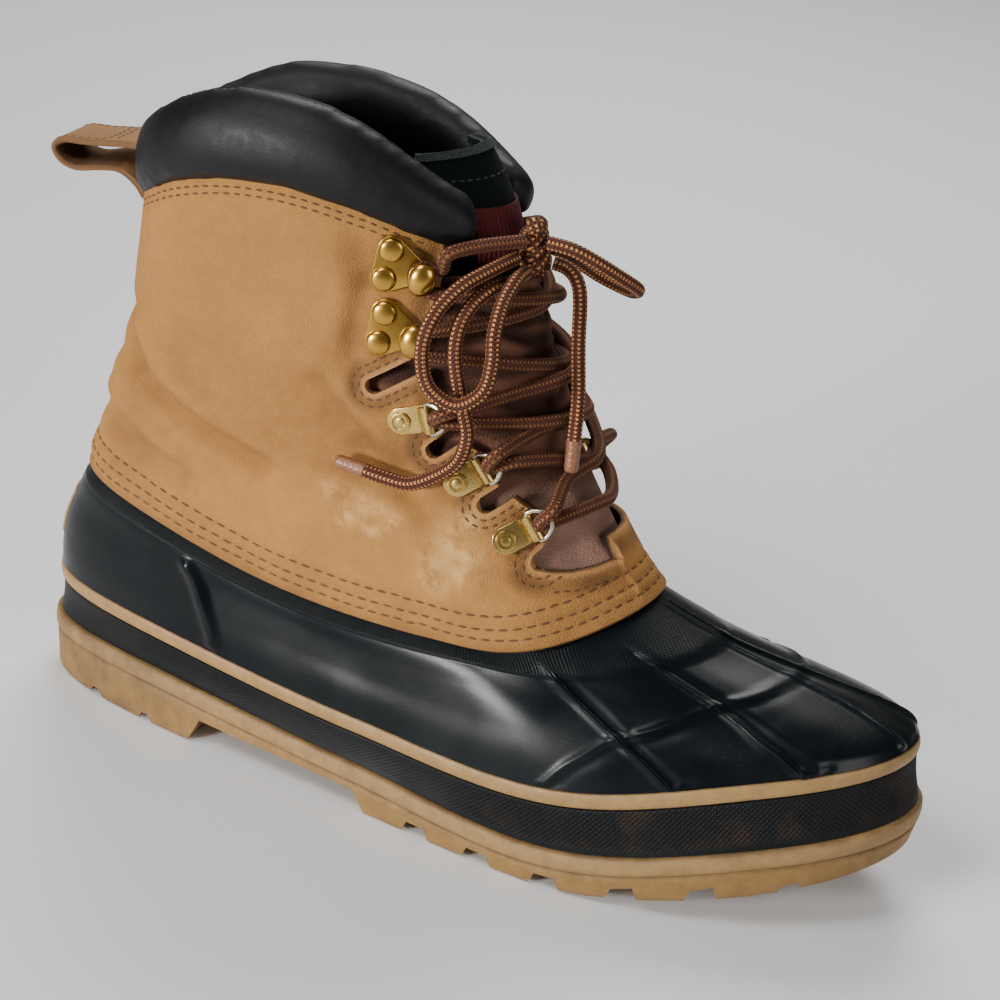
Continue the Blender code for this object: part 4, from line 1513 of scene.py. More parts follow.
@dataclass
class Outsole:
    """The lugged gum sole, with a plain strip along its top edge and grooves across its tread."""

    columns: int = 720
    strip_height: float = 6.5
    grooves: tuple = (      # from, to, depth at each end, slant of the walls
        (20.5, 27.0, 2.8, 2.8, 1.6),
        (42.5, 49.0, 2.8, 2.8, 1.6),
        (63.0, 133.0, 10.0, 8.0, 5.0),
        (146.5, 157.5, 4.4, 4.4, 2.2),
        (169.0, 180.5, 4.4, 4.4, 2.2),
        (193.0, 204.0, 4.6, 4.6, 2.2),
        (218.0, 229.0, 4.6, 4.6, 2.2),
        (242.0, 253.0, 4.6, 4.6, 2.2),
        (268.5, 276.0, 2.8, 2.8, 1.6),
    )
    look: Finish = GumRubber(
        "gum_sole", (0.30, 0.165, 0.045), 0.6, relief=0.12, lipped=True)

    def cutter(self) -> Piece:
        """The space under the tread, reaching up between the lugs.

        Returns:
            The cutter.
        """
        below, back, front, deep = -1.0, -20.0, 320.0, -30.0
        points = [(back, below)]
        for start, stop, first, last, slant in self.grooves:
            floor_a, floor_b = float(tread(start)), float(tread(stop))
            points += [(start, floor_a + below), (start + slant, floor_a + first),
                       (stop - slant, floor_b + last), (stop, floor_b + below)]
        points += [(front, float(tread(front)) + below), (front, deep), (back, deep)]
        return side_prism("tread_cutter", points, -FAR, FAR)

    def build(self) -> Piece:
        """The sole, from its lip down to the tread.

        Returns:
            The sole.
        """
        top = LAST.level("seam", around(self.columns))
        strip = self.strip_height
        profile = ((3.2, 0.0), (1.1, 0.0), (0.45, -0.25), (0.1, -0.8), (0.0, -1.6),
                   (-0.15, -strip * 0.5), (0.0, -strip + 1.4), (0.35, -strip + 0.7),
                   (1.15, -strip + 0.2), (1.3, -strip - 0.3), (0.85, -strip - 0.9))
        rows = [inset(top, depth, lift) for depth, lift in profile]
        high, floor = top[:, 2] - strip - 1.6, tread(top[:, 0])
        rounding = {1.0: 1.1, 0.97: 0.3}
        for share in (0.0, 0.14, 0.3, 0.46, 0.62, 0.78, 0.9, 0.97, 1.0):
            row = inset(top, 0.7 + 1.1 * share + rounding.get(share, 0))
            row[:, 2] = high + (floor - high) * share
            rows.append(row)
        rows = np.concatenate((lid_rows(rows[0], 3)[::-1], rows, lid_rows(rows[-1], 10)))
        sole = grid_piece("outsole_body", rows, uv=pattern_uv(rows), sharp=38.0)
        cut(sole, [self.cutter()])
        self.mark(sole)
        shade(sole.data, 38.0)
        tidy(sole, "gum_rubber", self.look.build(), "outsole")
        return sole

    def mark(self, sole: Piece) -> None:
        """Store where the pale strip is, and where the sole is darkened: grime in the groove and
        along the top edge, darker towards the floor, and painted shade round the heel.

        Args:
            sole: the sole.
        """
        points = piece_points(sole)
        seam = LAST.level("seam", around(self.columns)[:self.columns // 2])
        depth = np.interp(points[:, 0], seam[:, 0], seam[:, 2]) - points[:, 2]
        groove = bell(depth - self.strip_height - 0.2, 0.8)
        low = smooth_step((6.0 - points[:, 2] + tread(points[:, 0])) / 8.0) * 0.35
        # painted shade round the heel
        low = low + 0.6 * smooth_step((80 - points[:, 0]) / 50) * (depth > 0.5)
        mark(sole, "lip", smooth_step((self.strip_height - 0.2 - depth) / 0.8))
        mark(sole, "dirt_and_shade", np.clip(groove * 0.8 + bell(depth, 0.9) * 0.7 + low, 0, 1))


@dataclass
class Foxing:
    """The recessed knurled band round the foot, and the tan stripe above it."""

    columns: int = 900
    band_look: Finish = MouldedRubber(
        "foxing_rubber", (0.0026, 0.0034, 0.004), 0.48, specular=0.2, relief=0.3, knurled=True,
        pitch=1.5, grime=0.35)
    stripe_look: Finish = GumRubber(
        "stripe_gum", (0.37, 0.215, 0.072), 0.5, relief=0.08, lipped=True)

    def build(self) -> list:
        """Both pieces.

        Returns:
            The band and the stripe.
        """
        angles = around(self.columns)
        seam, stripe_low = LAST.level("seam", angles), LAST.level("stripe_low", angles)
        low = inset(seam, 1.4, GAP)
        high = inset(stripe_low, 0.4, -GAP / 2)
        rows = [inset(low, FOXING - 0.4), inset(low, 0.9), inset(low, 0.25, 0.25)]
        for share in np.linspace(0.07, 0.93, 13):
            rows.append(inset(low + (high - low) * share, 0.55 * math.sin(math.pi * share) + 0.1))
        rows += [inset(high, 0.2, -0.25), inset(high, 0.9), inset(high, FOXING - 0.4)]
        rows.append(rows[0])
        rows = np.array(rows)
        toe = smooth_step((rows[..., 0] - 150) / 40)
        knurl = np.zeros(rows.shape[:2])
        knurl[3:16] = (0.25 + 0.75 * toe[3:16]) * smooth_step(np.arange(13)[:, None] / 2)
        band = grid_piece("foxing_band_body", rows, uv=pattern_uv(rows), masks={"knurl": knurl})
        tidy(band, "black_rubber", self.band_look.build(), "foxing_band")

        low = inset(stripe_low, 0.0, GAP / 2)
        high = LAST.level("stripe_high", angles)
        profile = ((FOXING, 0.0), (1.0, 0.0), (0.35, 0.02), (0.05, 0.1), (-0.15, 0.25),
                   (-0.3, 0.5), (-0.2, 0.75), (0.02, 0.9), (0.35, 0.98), (1.0, 1.0),
                   (FOXING, 1.0), (FOXING, 0.0))
        rows = np.array([inset(low + (high - low) * share, depth) for depth, share in profile])
        dirt_and_shade = np.zeros(rows.shape[:2])
        dirt_and_shade[[0, 1, 2, 8, 9]] = 0.7
        lip = np.full(rows.shape[:2], 0.25)
        stripe = grid_piece("foxing_stripe_body", rows, uv=pattern_uv(rows),
                            masks={"dirt_and_shade": dirt_and_shade, "lip": lip}, sharp=60.0)
        tidy(stripe, "stripe_rubber", self.stripe_look.build(), "foxing_stripe")
        return [band, stripe]


@dataclass(frozen=True)
class Rib:
    """A moulded rib of the rubber: its sharp edge, its soft edge, and its height."""

    sharp: tuple
    soft: tuple
    height: float = 0.8
    hollow: float = 0.7
    both: bool = True       # whether the medial side has one too
    soft_beaded: bool = False


def lap_rows(angles: Array) -> list:
    """The galosh's two top rows, where it laps under the leather.

    Args:
        angles: angles round the boot.

    Returns:
        The two rows.
    """
    leather = np.array([LAST.level(name, angles) for name in SHAFT[:3]])
    lap = (leather - surface_normals(leather) * (LEATHER + GAP))[:2]
    return [lap[0], lap[0] + (lap[1] - lap[0]) * LAP]


@dataclass
class RubberShell:
    """The moulded galosh: ribs over the toe and heel, and a knurled strip under the leather."""

    columns: int = 960
    rows: int = 72
    ribs: tuple = (
        Rib(((183.6, -39.4, 68.6), (197.4, -43, 61.8), (212.1, -46.1, 55.1), (223.8, -48.1, 50.1),
             (233, -45.4, 42.4), (237, -44, 36)),
            ((193.8, -38.6, 68.4), (207.1, -41.4, 62.3), (218.1, -44.4, 56.9),
             (228.7, -46.6, 51.6), (238.3, -47.2, 45.5), (243, -44, 38))),
        Rib(((206.6, -25.6, 74.8), (221.6, -27.5, 70.6), (237.8, -29.9, 66.5),
             (246.1, -31.7, 63.9), (254.9, -34.0, 60.4), (262, -34.8, 58.0), (272, -35.5, 52.6),
             (277, -35, 48)),
            ((211.5, -23.0, 75.5), (226.5, -24.3, 71.0), (242, -26.5, 67.3), (251, -28, 65),
             (260.5, -29.8, 62), (268, -30.5, 59.3), (277.5, -31, 54.3), (281, -31, 50))),
        Rib(((205.0, -3.0, 82.0), (213.6, -3.1, 80.1), (231.9, -3.6, 74.5), (251.2, -4.9, 71.3),
             (274.1, -7.2, 67.2), (288, -10, 63.6), (295, -10.5, 58)),
            ((205.0, 0.4, 82.0), (213.6, 0.4, 80.1), (231.9, 0.6, 74.5), (251.2, 1.4, 71.3),
             (274.1, 3.4, 67.2), (288, 6, 63.6), (295, 6.5, 58)), 0.9, 0.5, False, True),
        Rib(((57.2, -35.3, 63.5), (59.8, -36.1, 59.4), (69.2, -38.4, 44),
             (70, -38.6, 41)),
            ((60.2, -35.0, 64.5), (64.2, -36.2, 60.8), (71.6, -38.5, 44.8),
             (72.2, -38.6, 42)), 0.0, -1.7, True, True),
    )
    cross: tuple = (
        (193.3, -53.4, 35.7), (198.7, -51.9, 43), (205.1, -49.8, 49.1), (210.8, -46.9, 53.9),
        (218.1, -44.4, 56.9), (227.1, -39.5, 61.1), (237.8, -29.9, 66.5), (247.5, -20.9, 68.7),
        (253.8, -9.1, 70.5), (256, -2, 71),
    )
    patch_reach: float = 0.175   # half angle round the heel
    look: Finish = MouldedRubber(
        "shell_rubber", (0.0018, 0.0032, 0.0042), 0.23, relief=0.14, knurled=True, pitch=1.1,
        specular=0.2)
    patch_look: Finish = MouldedRubber(
        "patch_rubber", (0.004, 0.0055, 0.0065), 0.5, relief=0.2)
    frame_look: Finish = GumRubber(
        "patch_frame_gum", (0.42, 0.24, 0.085), 0.5, relief=0.05)

    def outer(self, angles: Array) -> Array:
        """The rubber's outside, from the stripe up to its lap under the leather.

        Args:
            angles: angles round the boot.

        Returns:
            The rows, from the foot up.
        """
        ledge = inset(LAST.level("stripe_high", angles), 0.2, GAP)
        shell = [LAST.level(name, angles) for name in SHELL]
        at = np.concatenate((np.linspace(0, 4, self.rows - 16)[:-1], np.linspace(4, 6, 17)))
        return catmull(np.array([ledge, *shell, *lap_rows(angles)]), at)

    def inner(self, angles: Array) -> Array:
        """Coarse rows of the hidden inside, from the lap down to the foot and up to the ledge.

        Args:
            angles: angles round the boot.

        Returns:
            The rows.
        """
        side = np.array([*(LAST.level(name, angles) for name in SHELL), *lap_rows(angles)])
        walls = (side - surface_normals(side) * RUBBER)[::-1]
        foot = [inset(LAST.level("seam", angles), SEAM_INSET, GAP),
                inset(LAST.level("stripe_low", angles), FOXING + GAP + 0.1),
                inset(LAST.level("stripe_high", angles), FOXING + GAP, GAP)]
        return np.concatenate((walls, [inset(loop, RUBBER) for loop in foot[::-1]], foot))

    def on_skin(self, tree: BVHTree, line: tuple, side: int) -> Array:
        """A line laid on the rubber, on either side."""
        line = smooth_route(np.array(line) * (1, -side, 1), 1.2)
        return np.array([tree.find_nearest(Vector(point))[0] for point in line])

    def build(self) -> list:
        """The galosh, its ribs' beads and the patch at its heel.

        Returns:
            The pieces.
        """
        angles = around(self.columns)
        rows = self.outer(angles)
        lift, beads = self.relief(rows)
        height = heights_up(rows)
        first = np.argmin(np.linalg.norm(rows - LAST.level("shell_4", angles), axis=2), axis=0)
        above = height - height[first, np.arange(self.columns)]
        knurl = smooth_step((above + 0.2) / 0.5) * (lift < 0.3)
        knurl = knurl * (0.25 + 0.75 * smooth_step((196 - rows[..., 0]) / 24))
        strip = 0.2 + 0.35 * smooth_step((rows[..., 0] - 50) / 30)
        lift = (lift * (1 - 0.75 * smooth_step(above / 0.8))
                + strip * smooth_step((above + 0.5) / 0.7))
        normals = surface_normals(rows)
        rows = rows + normals * (lift * smooth_step(height / 2.0))[..., None]
        inner = self.inner(angles)
        hidden = len(inner) + 1
        uv = pattern_uv(rows)
        shell = grid_piece("rubber_shell_body", np.concatenate((rows, inner, rows[:1])),
                           uv=np.concatenate((uv, np.repeat(uv[-1:], hidden, axis=0))),
                           masks={"knurl": np.pad(knurl, ((0, hidden), (0, 0)))}, sharp=60.0)
        look = self.look.build()
        tidy(shell, "black_rubber", look, "rubber_shell")
        return [shell, self.bead_piece(beads, Skin(shell), look), *self.heel_patch(rows, normals)]

    def relief(self, rows: Array) -> tuple[Array, list]:
        """How far the ribs lift each point of the rubber, and the lines of their edges.

        Args:
            rows: the rubber's plain outside.

        Returns:
            The lift of each point, and the lines of the ribs' edges.
        """
        count = self.columns
        flat = [Vector(point) for point in rows.reshape(-1, 3)]
        faces = [(i * count + j, i * count + (j + 1) % count, (i + 1) * count + (j + 1) % count,
                  (i + 1) * count + j) for i in range(len(rows) - 1) for j in range(count)]
        tree = BVHTree.FromPolygons(flat, faces)
        lift = np.zeros(rows.shape[:2])
        beads = []
        for rib in self.ribs:
            for side in (-1, 1) if rib.both else (-1,):
                sharp, soft = (self.on_skin(tree, line, side) for line in (rib.sharp, rib.soft))
                partner = np.stack([np.interp(np.linspace(0, 1, len(sharp)),
                                              np.linspace(0, 1, len(soft)), column)
                                    for column in soft.T], axis=1)
                width = np.linalg.norm(partner - sharp, axis=1)
                reach = max(float(width.mean()) / 2, 3.6) * 0.75
                lift += rib.height * bell(distance_to(rows, sharp), 1.5)
                lift -= rib.hollow * bell(distance_to(rows, (sharp + partner) / 2), reach)
                near = distance_to(rows, soft)
                lift += rib.height * bell(near, 1.5) if rib.soft_beaded else 0.25 * bell(near, 2.2)
                second = sharp + (partner - sharp) * (1.5 / np.maximum(width, 1.5))[:, None]
                if rib.height:
                    beads += [sharp, soft if rib.soft_beaded else second]
        for side in (-1, 1):
            line = self.on_skin(tree, self.cross, side)
            near = distance_to(rows, line)
            lift += 0.75 * bell(near, 1.3)
            beside = distance_to(rows, line + np.array((2.5, 0, -1.2)))
            lift -= 0.25 * bell(beside, 2.2) * (near < 20)
        return lift, beads

    def bead_piece(self, beads: list, skin: Skin, look: Material) -> Piece:
        """Fine round beads along the ribs' edges, as one piece.

        Args:
            beads: lines of the beads.
            skin: the rubber's surface.
            look: their finish.

        Returns:
            The beads.
        """
        tubes = []
        for line in beads:
            places, normals = skin.nearest(smooth_route(line, 1.6))
            share = np.linspace(0, 1, len(places))
            radius = 0.62 * np.clip(np.minimum(share, 1 - share) / 0.06, 0.15, 1)
            tubes.append(tube("bead", places - normals * 0.22, radius, sides=8))
        piece = joined("rubber_beads", tubes, 70.0)
        tidy(piece, "black_rubber", look)
        return piece

    def heel_patch(self, rows: Array, normals: Array) -> list:
        """A plain patch round the back of the heel, in a raised tan frame.

        Args:
            rows: the rubber's outside.
            normals: its outward normals.

        Returns:
            The patch and its frame.
        """
        reach = int(self.patch_reach / TURN * self.columns)
        pick = np.arange(-reach, reach + 1) % self.columns
        heights = np.linspace(14, 44, 24).astype(int)
        patch, lift = rows[heights][:, pick], normals[heights][:, pick]
        u = np.linspace(-1, 1, len(pick))[None, :]
        v = np.linspace(-1, 1, len(heights))[:, None]
        inside = np.minimum(smooth_step((1 - np.abs(u)) / 0.09),
                            smooth_step((1 - np.abs(v)) / 0.12))
        outer = patch + lift * (0.02 + 0.3 * inside)[..., None]
        ring = np.concatenate((outer, (patch - lift * 0.4)[:, ::-1]), axis=1)
        ring = np.concatenate((ring[:1] * 0 + patch[0].mean(axis=0), ring,
                               ring[:1] * 0 + patch[-1].mean(axis=0)))
        sheet = grid_piece("heel_patch", ring, uv=pattern_uv(ring), sharp=60.0)
        tidy(sheet, "black_rubber", self.patch_look.build())
        corner, tall = 0.16, 0.16 * 1.4
        loop = []
        for a, b, start in ((1, -1, -90), (1, 1, 0), (-1, 1, 90), (-1, -1, 180)):
            loop += [(a * (0.93 - corner) + corner * x, b * (0.86 - tall) + tall * y)
                     for x, y in arc((0, 0), 1.0, start, start + 90, 7)]
        line = []
        for a, b in resample(np.array(loop + loop[:1]), 0.03)[:-1]:
            column, row = (a + 1) / 2 * (len(pick) - 1), (b + 1) / 2 * (len(heights) - 1)
            i, j = int(row), int(column)
            here = patch[i, j]
            above = patch[min(i + 1, len(heights) - 1), j] - here
            beside = patch[i, min(j + 1, len(pick) - 1)] - here
            line.append(here + above * (row - i) + beside * (column - j) + lift[i, j] * 0.1)
        rim = tube("heel_patch_frame", np.array(line), 0.6, sides=10, closed=True)
        tidy(rim, "stripe_rubber", self.frame_look.build())
        return [sheet, rim]


@dataclass
class Insole:
    """The felt footbed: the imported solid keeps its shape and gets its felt."""

    look: Finish = FeltFinish(
        "footbed_felt", (0.05, 0.05, 0.045), 0.95, relief=0.3)

    def dress(self) -> None:
        """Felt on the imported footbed."""
        made = self.look.build()
        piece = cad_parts["insole"]
        for slot in piece.material_slots:
            slot.material = made
        LOG.info("insole: felt")


# ---- leather

LAP_SEAM = -9.0             # how far to the side the lap in front lies
FLAP = (                    # foot of the front opening on the inner side of the lap
    (215, 105), (203, 104.6), (196, 104.0), (189, 102.5), (183, 101), (177, 100.5), (173.6, 104),
)
THROAT = (                  # front opening of the leather from the side: distance from heel, height
    (215, 99), (203, 98.5), (190, 94.9), (184, 93.8), (179, 93.7), (175.6, 94.3), (173.5, 110),
    (166, 114.5), (156, 121.5), (154.5, 127.5), (147, 131.5), (138, 136.5), (136.5, 143),
    (132, 151), (130.5, 160), (130.5, 240), (215, 240),
)
NOTCHES = (                 # slots between the tabs: closed end, height, slope, radius, length
    (116.5, 144.0, 37.0, 2.6, 20.0),
    (138.0, 127.5, 45.0, 2.6, 12.0),
    (156.5, 113.5, 42.0, 2.8, 14.0),
    (175.5, 97.5, 50.0, 3.2, 10.0),
)
STITCH_BROWN = Nubuck("stitch_thread", (0.105, 0.045, 0.014), 0.8, relief=0.05, marked=False)


def notch_outline(x: float, z: float, slope: float, radius: float, length: float) -> list:
    """A slot with a round closed end, as X and Z.

    Args:
        x: place of the closed end.
        z: height of the closed end.
        slope: rise for each millimetre ahead.
        radius: half the slot's width.
        length: the slot's length.

    Returns:
        The corners.
    """
    points = [(length, radius), *arc((0, 0), radius, 90, 270, 10), (length, -radius)]
    c, s = math.cos(math.radians(slope)), math.sin(math.radians(slope))
    return [(x + c * u - s * v, z + s * u + c * v) for u, v in points]


def runs(places: Array, normals: Array, jump: float = 4.0) -> list:
    """A path split where it jumps.

    Args:
        places: points of the path.
        normals: the normals there.
        jump: shortest gap to split at.

    Returns:
        Pairs of points and normals.
    """
    if len(places) < 3:
        return []
    breaks = np.where(np.linalg.norm(np.diff(places, axis=0), axis=1) > jump)[0] + 1
    return [(p, n) for p, n in zip(np.split(places, breaks), np.split(normals, breaks))
            if len(p) > 3]


@dataclass(frozen=True)
class Crease:
    """A soft ridge or trough of the leather, on one side or both."""

    line: tuple
    width: float
    height: float
    sides: tuple = (-1,)


@dataclass
class LeatherShaft:
    """The nubuck shaft: creased at the ankle, cut open in front, notched between its tabs."""

    columns: int = 700
    rows: int = 122
    creases: tuple = (
        Crease(((34.5, -29.5, 140.7), (48, -34.7, 129.4), (66.5, -35.9, 119.2),
                (88.7, -35.4, 113.1), (107.2, -35.4, 108.7)), 5.4, 2.62, (-1, 1)),
        Crease(((25.5, -21.7, 140.5), (34.3, -29.4, 123.7), (51.5, -35, 115.9),
                (64.6, -35.7, 111.3), (81.9, -35.2, 106.3)), 4.0, -3.68, (-1, 1)),
        Crease(((54.2, -36, 138.8), (75.2, -37, 137.5), (94.5, -37, 133.1)), 11.7, -2.62, (-1, 1)),
        Crease(((20.9, -22, 100), (38.4, -31.7, 98.7), (55.6, -34.9, 93.7)), 4.5, -2.27, (-1, 1)),
        Crease(((14.0, -10, 108), (20, -22, 110), (33, -30, 108), (50, -34, 103)), 4.5, 2.27,
               (-1, 1)),
        Crease(((98, -36, 148), (108, -35, 138), (118, -35, 129), (124, -34, 122)), 4.5, 1.75),
        Crease(((103, -36, 128.4), (117, -35, 118), (130, -34, 109), (138, -34, 104)), 4.8, -1.5),
        Crease(((120, -36, 116), (131, -35, 104), (139, -36, 94), (143, -37, 86)), 3.8, 1.2),
        Crease(((133, -35, 113), (145, -35, 100), (150, -36, 88)), 3.6, -1.0),
        Crease(((146, -34, 108), (154, -34, 97), (158, -35, 86)), 3.4, 1.0),
        Crease(((100, -38, 190), (104, -37, 176), (104, -36, 160)), 5.4, 1.22),
        Crease(((110, -36, 176), (108, -36, 158), (109, -36, 150)), 3.6, -1.57),
        Crease(((40, -36, 165), (60, -39, 160), (85, -38, 158)), 12.6, 1.57, (-1, 1)),
        Crease(((100, 35, 140), (115, 34, 125), (130, 33, 113)), 5.4, -2.10),
    )
    back_folds: tuple = (   # height, width, lift
        (126.0, 4.5, -2.2), (118.0, 4.5, 1.8), (106.0, 5.0, -1.8), (98.0, 5.0, 1.2))
    lap_seam: tuple = ((192.9, -9, 99.9), (196.5, -9.2, 95.5), (201.3, -9.4, 88.9),
                       (203.5, -9.5, 85.5))
    scuffs: tuple = (       # place and spread of the pale rubbed patches
        (107, 106, 3.4), (112, 105, 3.6), (117, 103.6, 3.8), (122, 102.2, 3.6), (127, 100.6, 3.2),
        (112, 98, 3.2), (121, 96, 2.6), (152, 107, 4.4), (149.5, 102, 4.8), (147.5, 97, 5.2),
        (145.5, 91.5, 5.4), (144.5, 86, 4.8), (154, 97, 4.2), (152, 90, 4.4),
    )
    smudges: tuple = (
        (108, 177, 7, 0.35), (109, 158, 8, 0.5), (105, 186, 6, 0.35), (114, 145, 5, 0.5),
        (103, 128, 11, 0.35), (117, 125, 9, 0.4), (106, 116, 9, 0.3), (60, 112, 16, 0.28),
        (35, 121, 10, 0.35), (30, 100, 12, 0.4), (85, 118, 9, 0.3), (127, 126, 7, 0.5),
        (142, 116, 6, 0.5), (96, 150, 9, 0.2), (165, 93, 7, 0.3), (190, 84, 9, 0.25),
    )
    hem_rows: tuple = (3.7, 7.4, 11.8)
    top_rows: tuple = (2.6, 4.9)
    notch_rows: tuple = (2.0, 4.3)
    look: Finish = Nubuck(
        "nubuck_tan", (0.365, 0.170, 0.042), 0.88, relief=0.2, specular=0.3)

    def build(self) -> list:
        """The shaft and its stitches.

        Returns:
            The pieces.
        """
        angles = around(self.columns)
        rise = np.linspace(0, len(SHAFT) - 1, self.rows)
        rows = LAST.surface(SHAFT, angles, rise)
        normals = surface_normals(rows)
        lift = self.relief(rows)
        inner = self.inner(rows, normals, lift)
        rows = rows + normals * lift[..., None]
        normals = surface_normals(rows)
        up = np.array((0, 0, 1.0))
        hem = [rows[0] - normals[0] * 0.9 - up * 0.45, rows[0] - normals[0] * 0.3 - up * 0.28]
        top = [rows[-1] - normals[-1] * 0.3 + up * 0.2, rows[-1] - normals[-1] * 0.9 + up * 0.3]
        loop = np.concatenate((hem, rows, top, inner, hem[:1]))
        shaft = grid_piece("leather_shaft_body", loop)
        cutters = [side_prism("throat_cutter", THROAT, high=LAP_SEAM),
                   side_prism("flap_cutter", FLAP + THROAT[7:], low=LAP_SEAM)]
        cutters += [side_prism(f"notch_cutter_{number}", notch_outline(*notch))
                    for number, notch in enumerate(NOTCHES, 1)]
        cut(shaft, cutters)
        shade(shaft.data, 42.0)
        self.mark(shaft)
        tidy(shaft, "nubuck_leather", self.look.build(), "leather_shaft")
        return [shaft, self.stitches(Skin(shaft))]

    def inner(self, rows: Array, normals: Array, lift: Array) -> Array:
        """Coarse rows of the inside, from the top down, always behind the creases.

        Args:
            rows: the leather's plain outside.
            normals: its outward normals.
            lift: how far the creases lift each point.

        Returns:
            The rows, from the top down.
        """
        picks = np.round(np.linspace(0, self.rows - 1, 16)).astype(int)
        low = np.array([lift[max(0, k - 8):k + 9].min(axis=0) for k in picks])
        for _ in range(3):
            low = np.minimum(low, (np.roll(low, 6, axis=1) + np.roll(low, -6, axis=1)) / 2)
        depth = np.minimum(low, 0) - LEATHER
        return (rows[picks] + normals[picks] * depth[..., None])[::-1]

    def relief(self, rows: Array) -> Array:
        """How far each point of the leather stands out from its plain form.

        Args:
            rows: the leather's plain outside.

        Returns:
            The lift of each point.
        """
        x, y, z = rows[..., 0], rows[..., 1], rows[..., 2]
        lift = np.zeros(rows.shape[:2])
        for crease in self.creases:
            for side in crease.sides:
                line = smooth_route(np.array(crease.line) * (1, -side, 1), 4.0)
                near = distance_to(rows[..., [0, 2]], line[:, [0, 2]])
                lift += crease.height * bell(near, crease.width) * smooth_step(0.5 + side * y / 18)
        behind = smooth_step((46 - x) / 34) * (0.75 + 0.25 * np.sin(y * 0.12))
        for height, width, amount in self.back_folds:
            lift += amount * bell(z - height, width) * behind
        lift += 0.34 * (np.sin(x * 0.093 + z * 0.051 + 0.6) + np.sin(x * 0.041 - z * 0.117 + 2.1)
                        + np.sin(y * 0.13 + z * 0.083) + 0.7 * np.sin(x * 0.21 + z * 0.17 + 1.3))
        lift += 0.9 * bell(distance_to(rows, np.array(self.lap_seam)), 1.1)
        ahead = smooth_step((x - np.interp(z, (85.5, 99.9), (203.5, 192.9))) / 1.5)
        lift += 0.35 * ahead * (np.abs(y) < 40) * (x > 180)
        number = np.arange(self.rows)[:, None]
        edge = smooth_step(number / 6.0)
        top = smooth_step((self.rows - 1 - number) / 5.0)
        first = heights_up(rows)
        dent = -0.42 * sum(bell(first - distance, 1.0) for distance in self.hem_rows)
        dent = dent - 0.28 * sum(bell(first[-1] - first - distance, 0.9)
                                 for distance in self.top_rows)
        roll = 1.3 * bell(first - 6.0, 6.0) * smooth_step((40 - x) / 30) * edge
        return lift * edge * top + dent + roll + 0.5 * bell(first, 1.6) * (1 - edge)

    def mark(self, shaft: Piece) -> None:
        """Store the rims, rubbed patches, and smudges with painted shade along the deeper creases,
        for the finish.

        Args:
            shaft: the shaft.
        """
        points = piece_points(shaft)
        x, y, z = points.T
        flat = points[:, [0, 2]]
        rim = np.full(len(points), np.inf)
        for outline in (THROAT, *(notch_outline(*notch) for notch in NOTCHES)):
            rim = np.minimum(rim, distance_to(flat, np.array(outline, float)))
        rim = np.where((y > LAP_SEAM) & (x > 176), distance_to(flat, np.array(FLAP, float)), rim)
        # distance to the cut edges, where the finish paints a highlight
        mark(shaft, "rim", bell(rim, 1.5))
        ways = np.empty(len(points) * 3)
        shaft.data.vertex_normals.foreach_get("vector", ways)
        ways = ways.reshape(-1, 3)
        facing = ways[:, 0] * (x - np.interp(z, (80, 190), (90, 80))) + ways[:, 1] * y
        mark(shaft, "lining", smooth_step(-facing / 8))
        lateral = smooth_step(-y / 12)
        scuff = np.zeros(len(points))
        for at_x, at_z, size in self.scuffs:
            near = np.hypot((x - at_x) * 0.8, z - at_z)
            scuff = np.maximum(scuff, bell(near, size) * lateral)
        mark(shaft, "scuff", scuff)
        smudge_and_shade = np.zeros(len(points))
        for at_x, at_z, size, amount in self.smudges:
            smudge_and_shade += amount * bell(np.hypot(x - at_x, z - at_z), size) * (0.35 + 0.65 * lateral)
        # painted shade along the deeper crease troughs
        for crease in self.creases:
            if crease.height < -1.5:
                line = smooth_route(np.array(crease.line, float), 4.0)[:, [0, 2]]
                smudge_and_shade += 0.22 * bell(distance_to(flat, line), crease.width * 0.8) * lateral
        smudge_and_shade += 0.8 * smooth_step((8.5 - rim) / 4.5) * smooth_step((rim - 0.8) / 0.8)
        hem = LAST.level("hem", around(240)[:121])
        above = z - np.interp(x, hem[:, 0], hem[:, 2])
        smudge_and_shade += 0.35 * bell(above, 2.2) + 0.16 * smooth_step((14.0 - above) / 5.0)
        mark(shaft, "smudge_and_shade", np.clip(smudge_and_shade, 0, 1))

    def stitches(self, skin: Skin) -> Piece:
        """Every row of stitches on the leather.

        Args:
            skin: the leather's surface.

        Returns:
            The stitches.
        """
        rows = Stitching("leather_stitches", pitch=4.5, length=3.2, radius=0.42)
        small = Stitching("leather_stitches", pitch=3.7, length=2.5, radius=0.38, bm=rows.bm)
        fine = Stitching("leather_stitches", pitch=3.2, length=2.2, radius=0.38, bm=rows.bm)
        turns = np.append(around(260), TURN - 1e-4)
        for distance in self.hem_rows:
            rows.row(*skin.nearest(LAST.above(SHAFT[:4], turns, distance)))
        for distance in self.top_rows:
            path = LAST.above(SHAFT[::-1][:4], np.linspace(-2.42, 2.42, 220), distance)
            small.row(*skin.nearest(path[path[:, 0] < 127.5]))
        for side in Side:
            for x, z, slope, radius, length in NOTCHES:
                for out in self.notch_rows:
                    outline = notch_outline(x, z, slope, radius + out, min(length, 13.0))
                    for run in runs(*skin.side(side, resample(np.array(outline), 1.0))):
                        fine.row(*run)
        foot = np.array(((194, 91.4), (187, 89.2), (180, 88.6)), float)
        for run in runs(*skin.side(Side.LATERAL, resample(foot, 1.0), 8.0)):
            fine.row(*run)
        piece = rows.finish()
        tidy(piece, "nubuck_leather", STITCH_BROWN.build())
        return piece


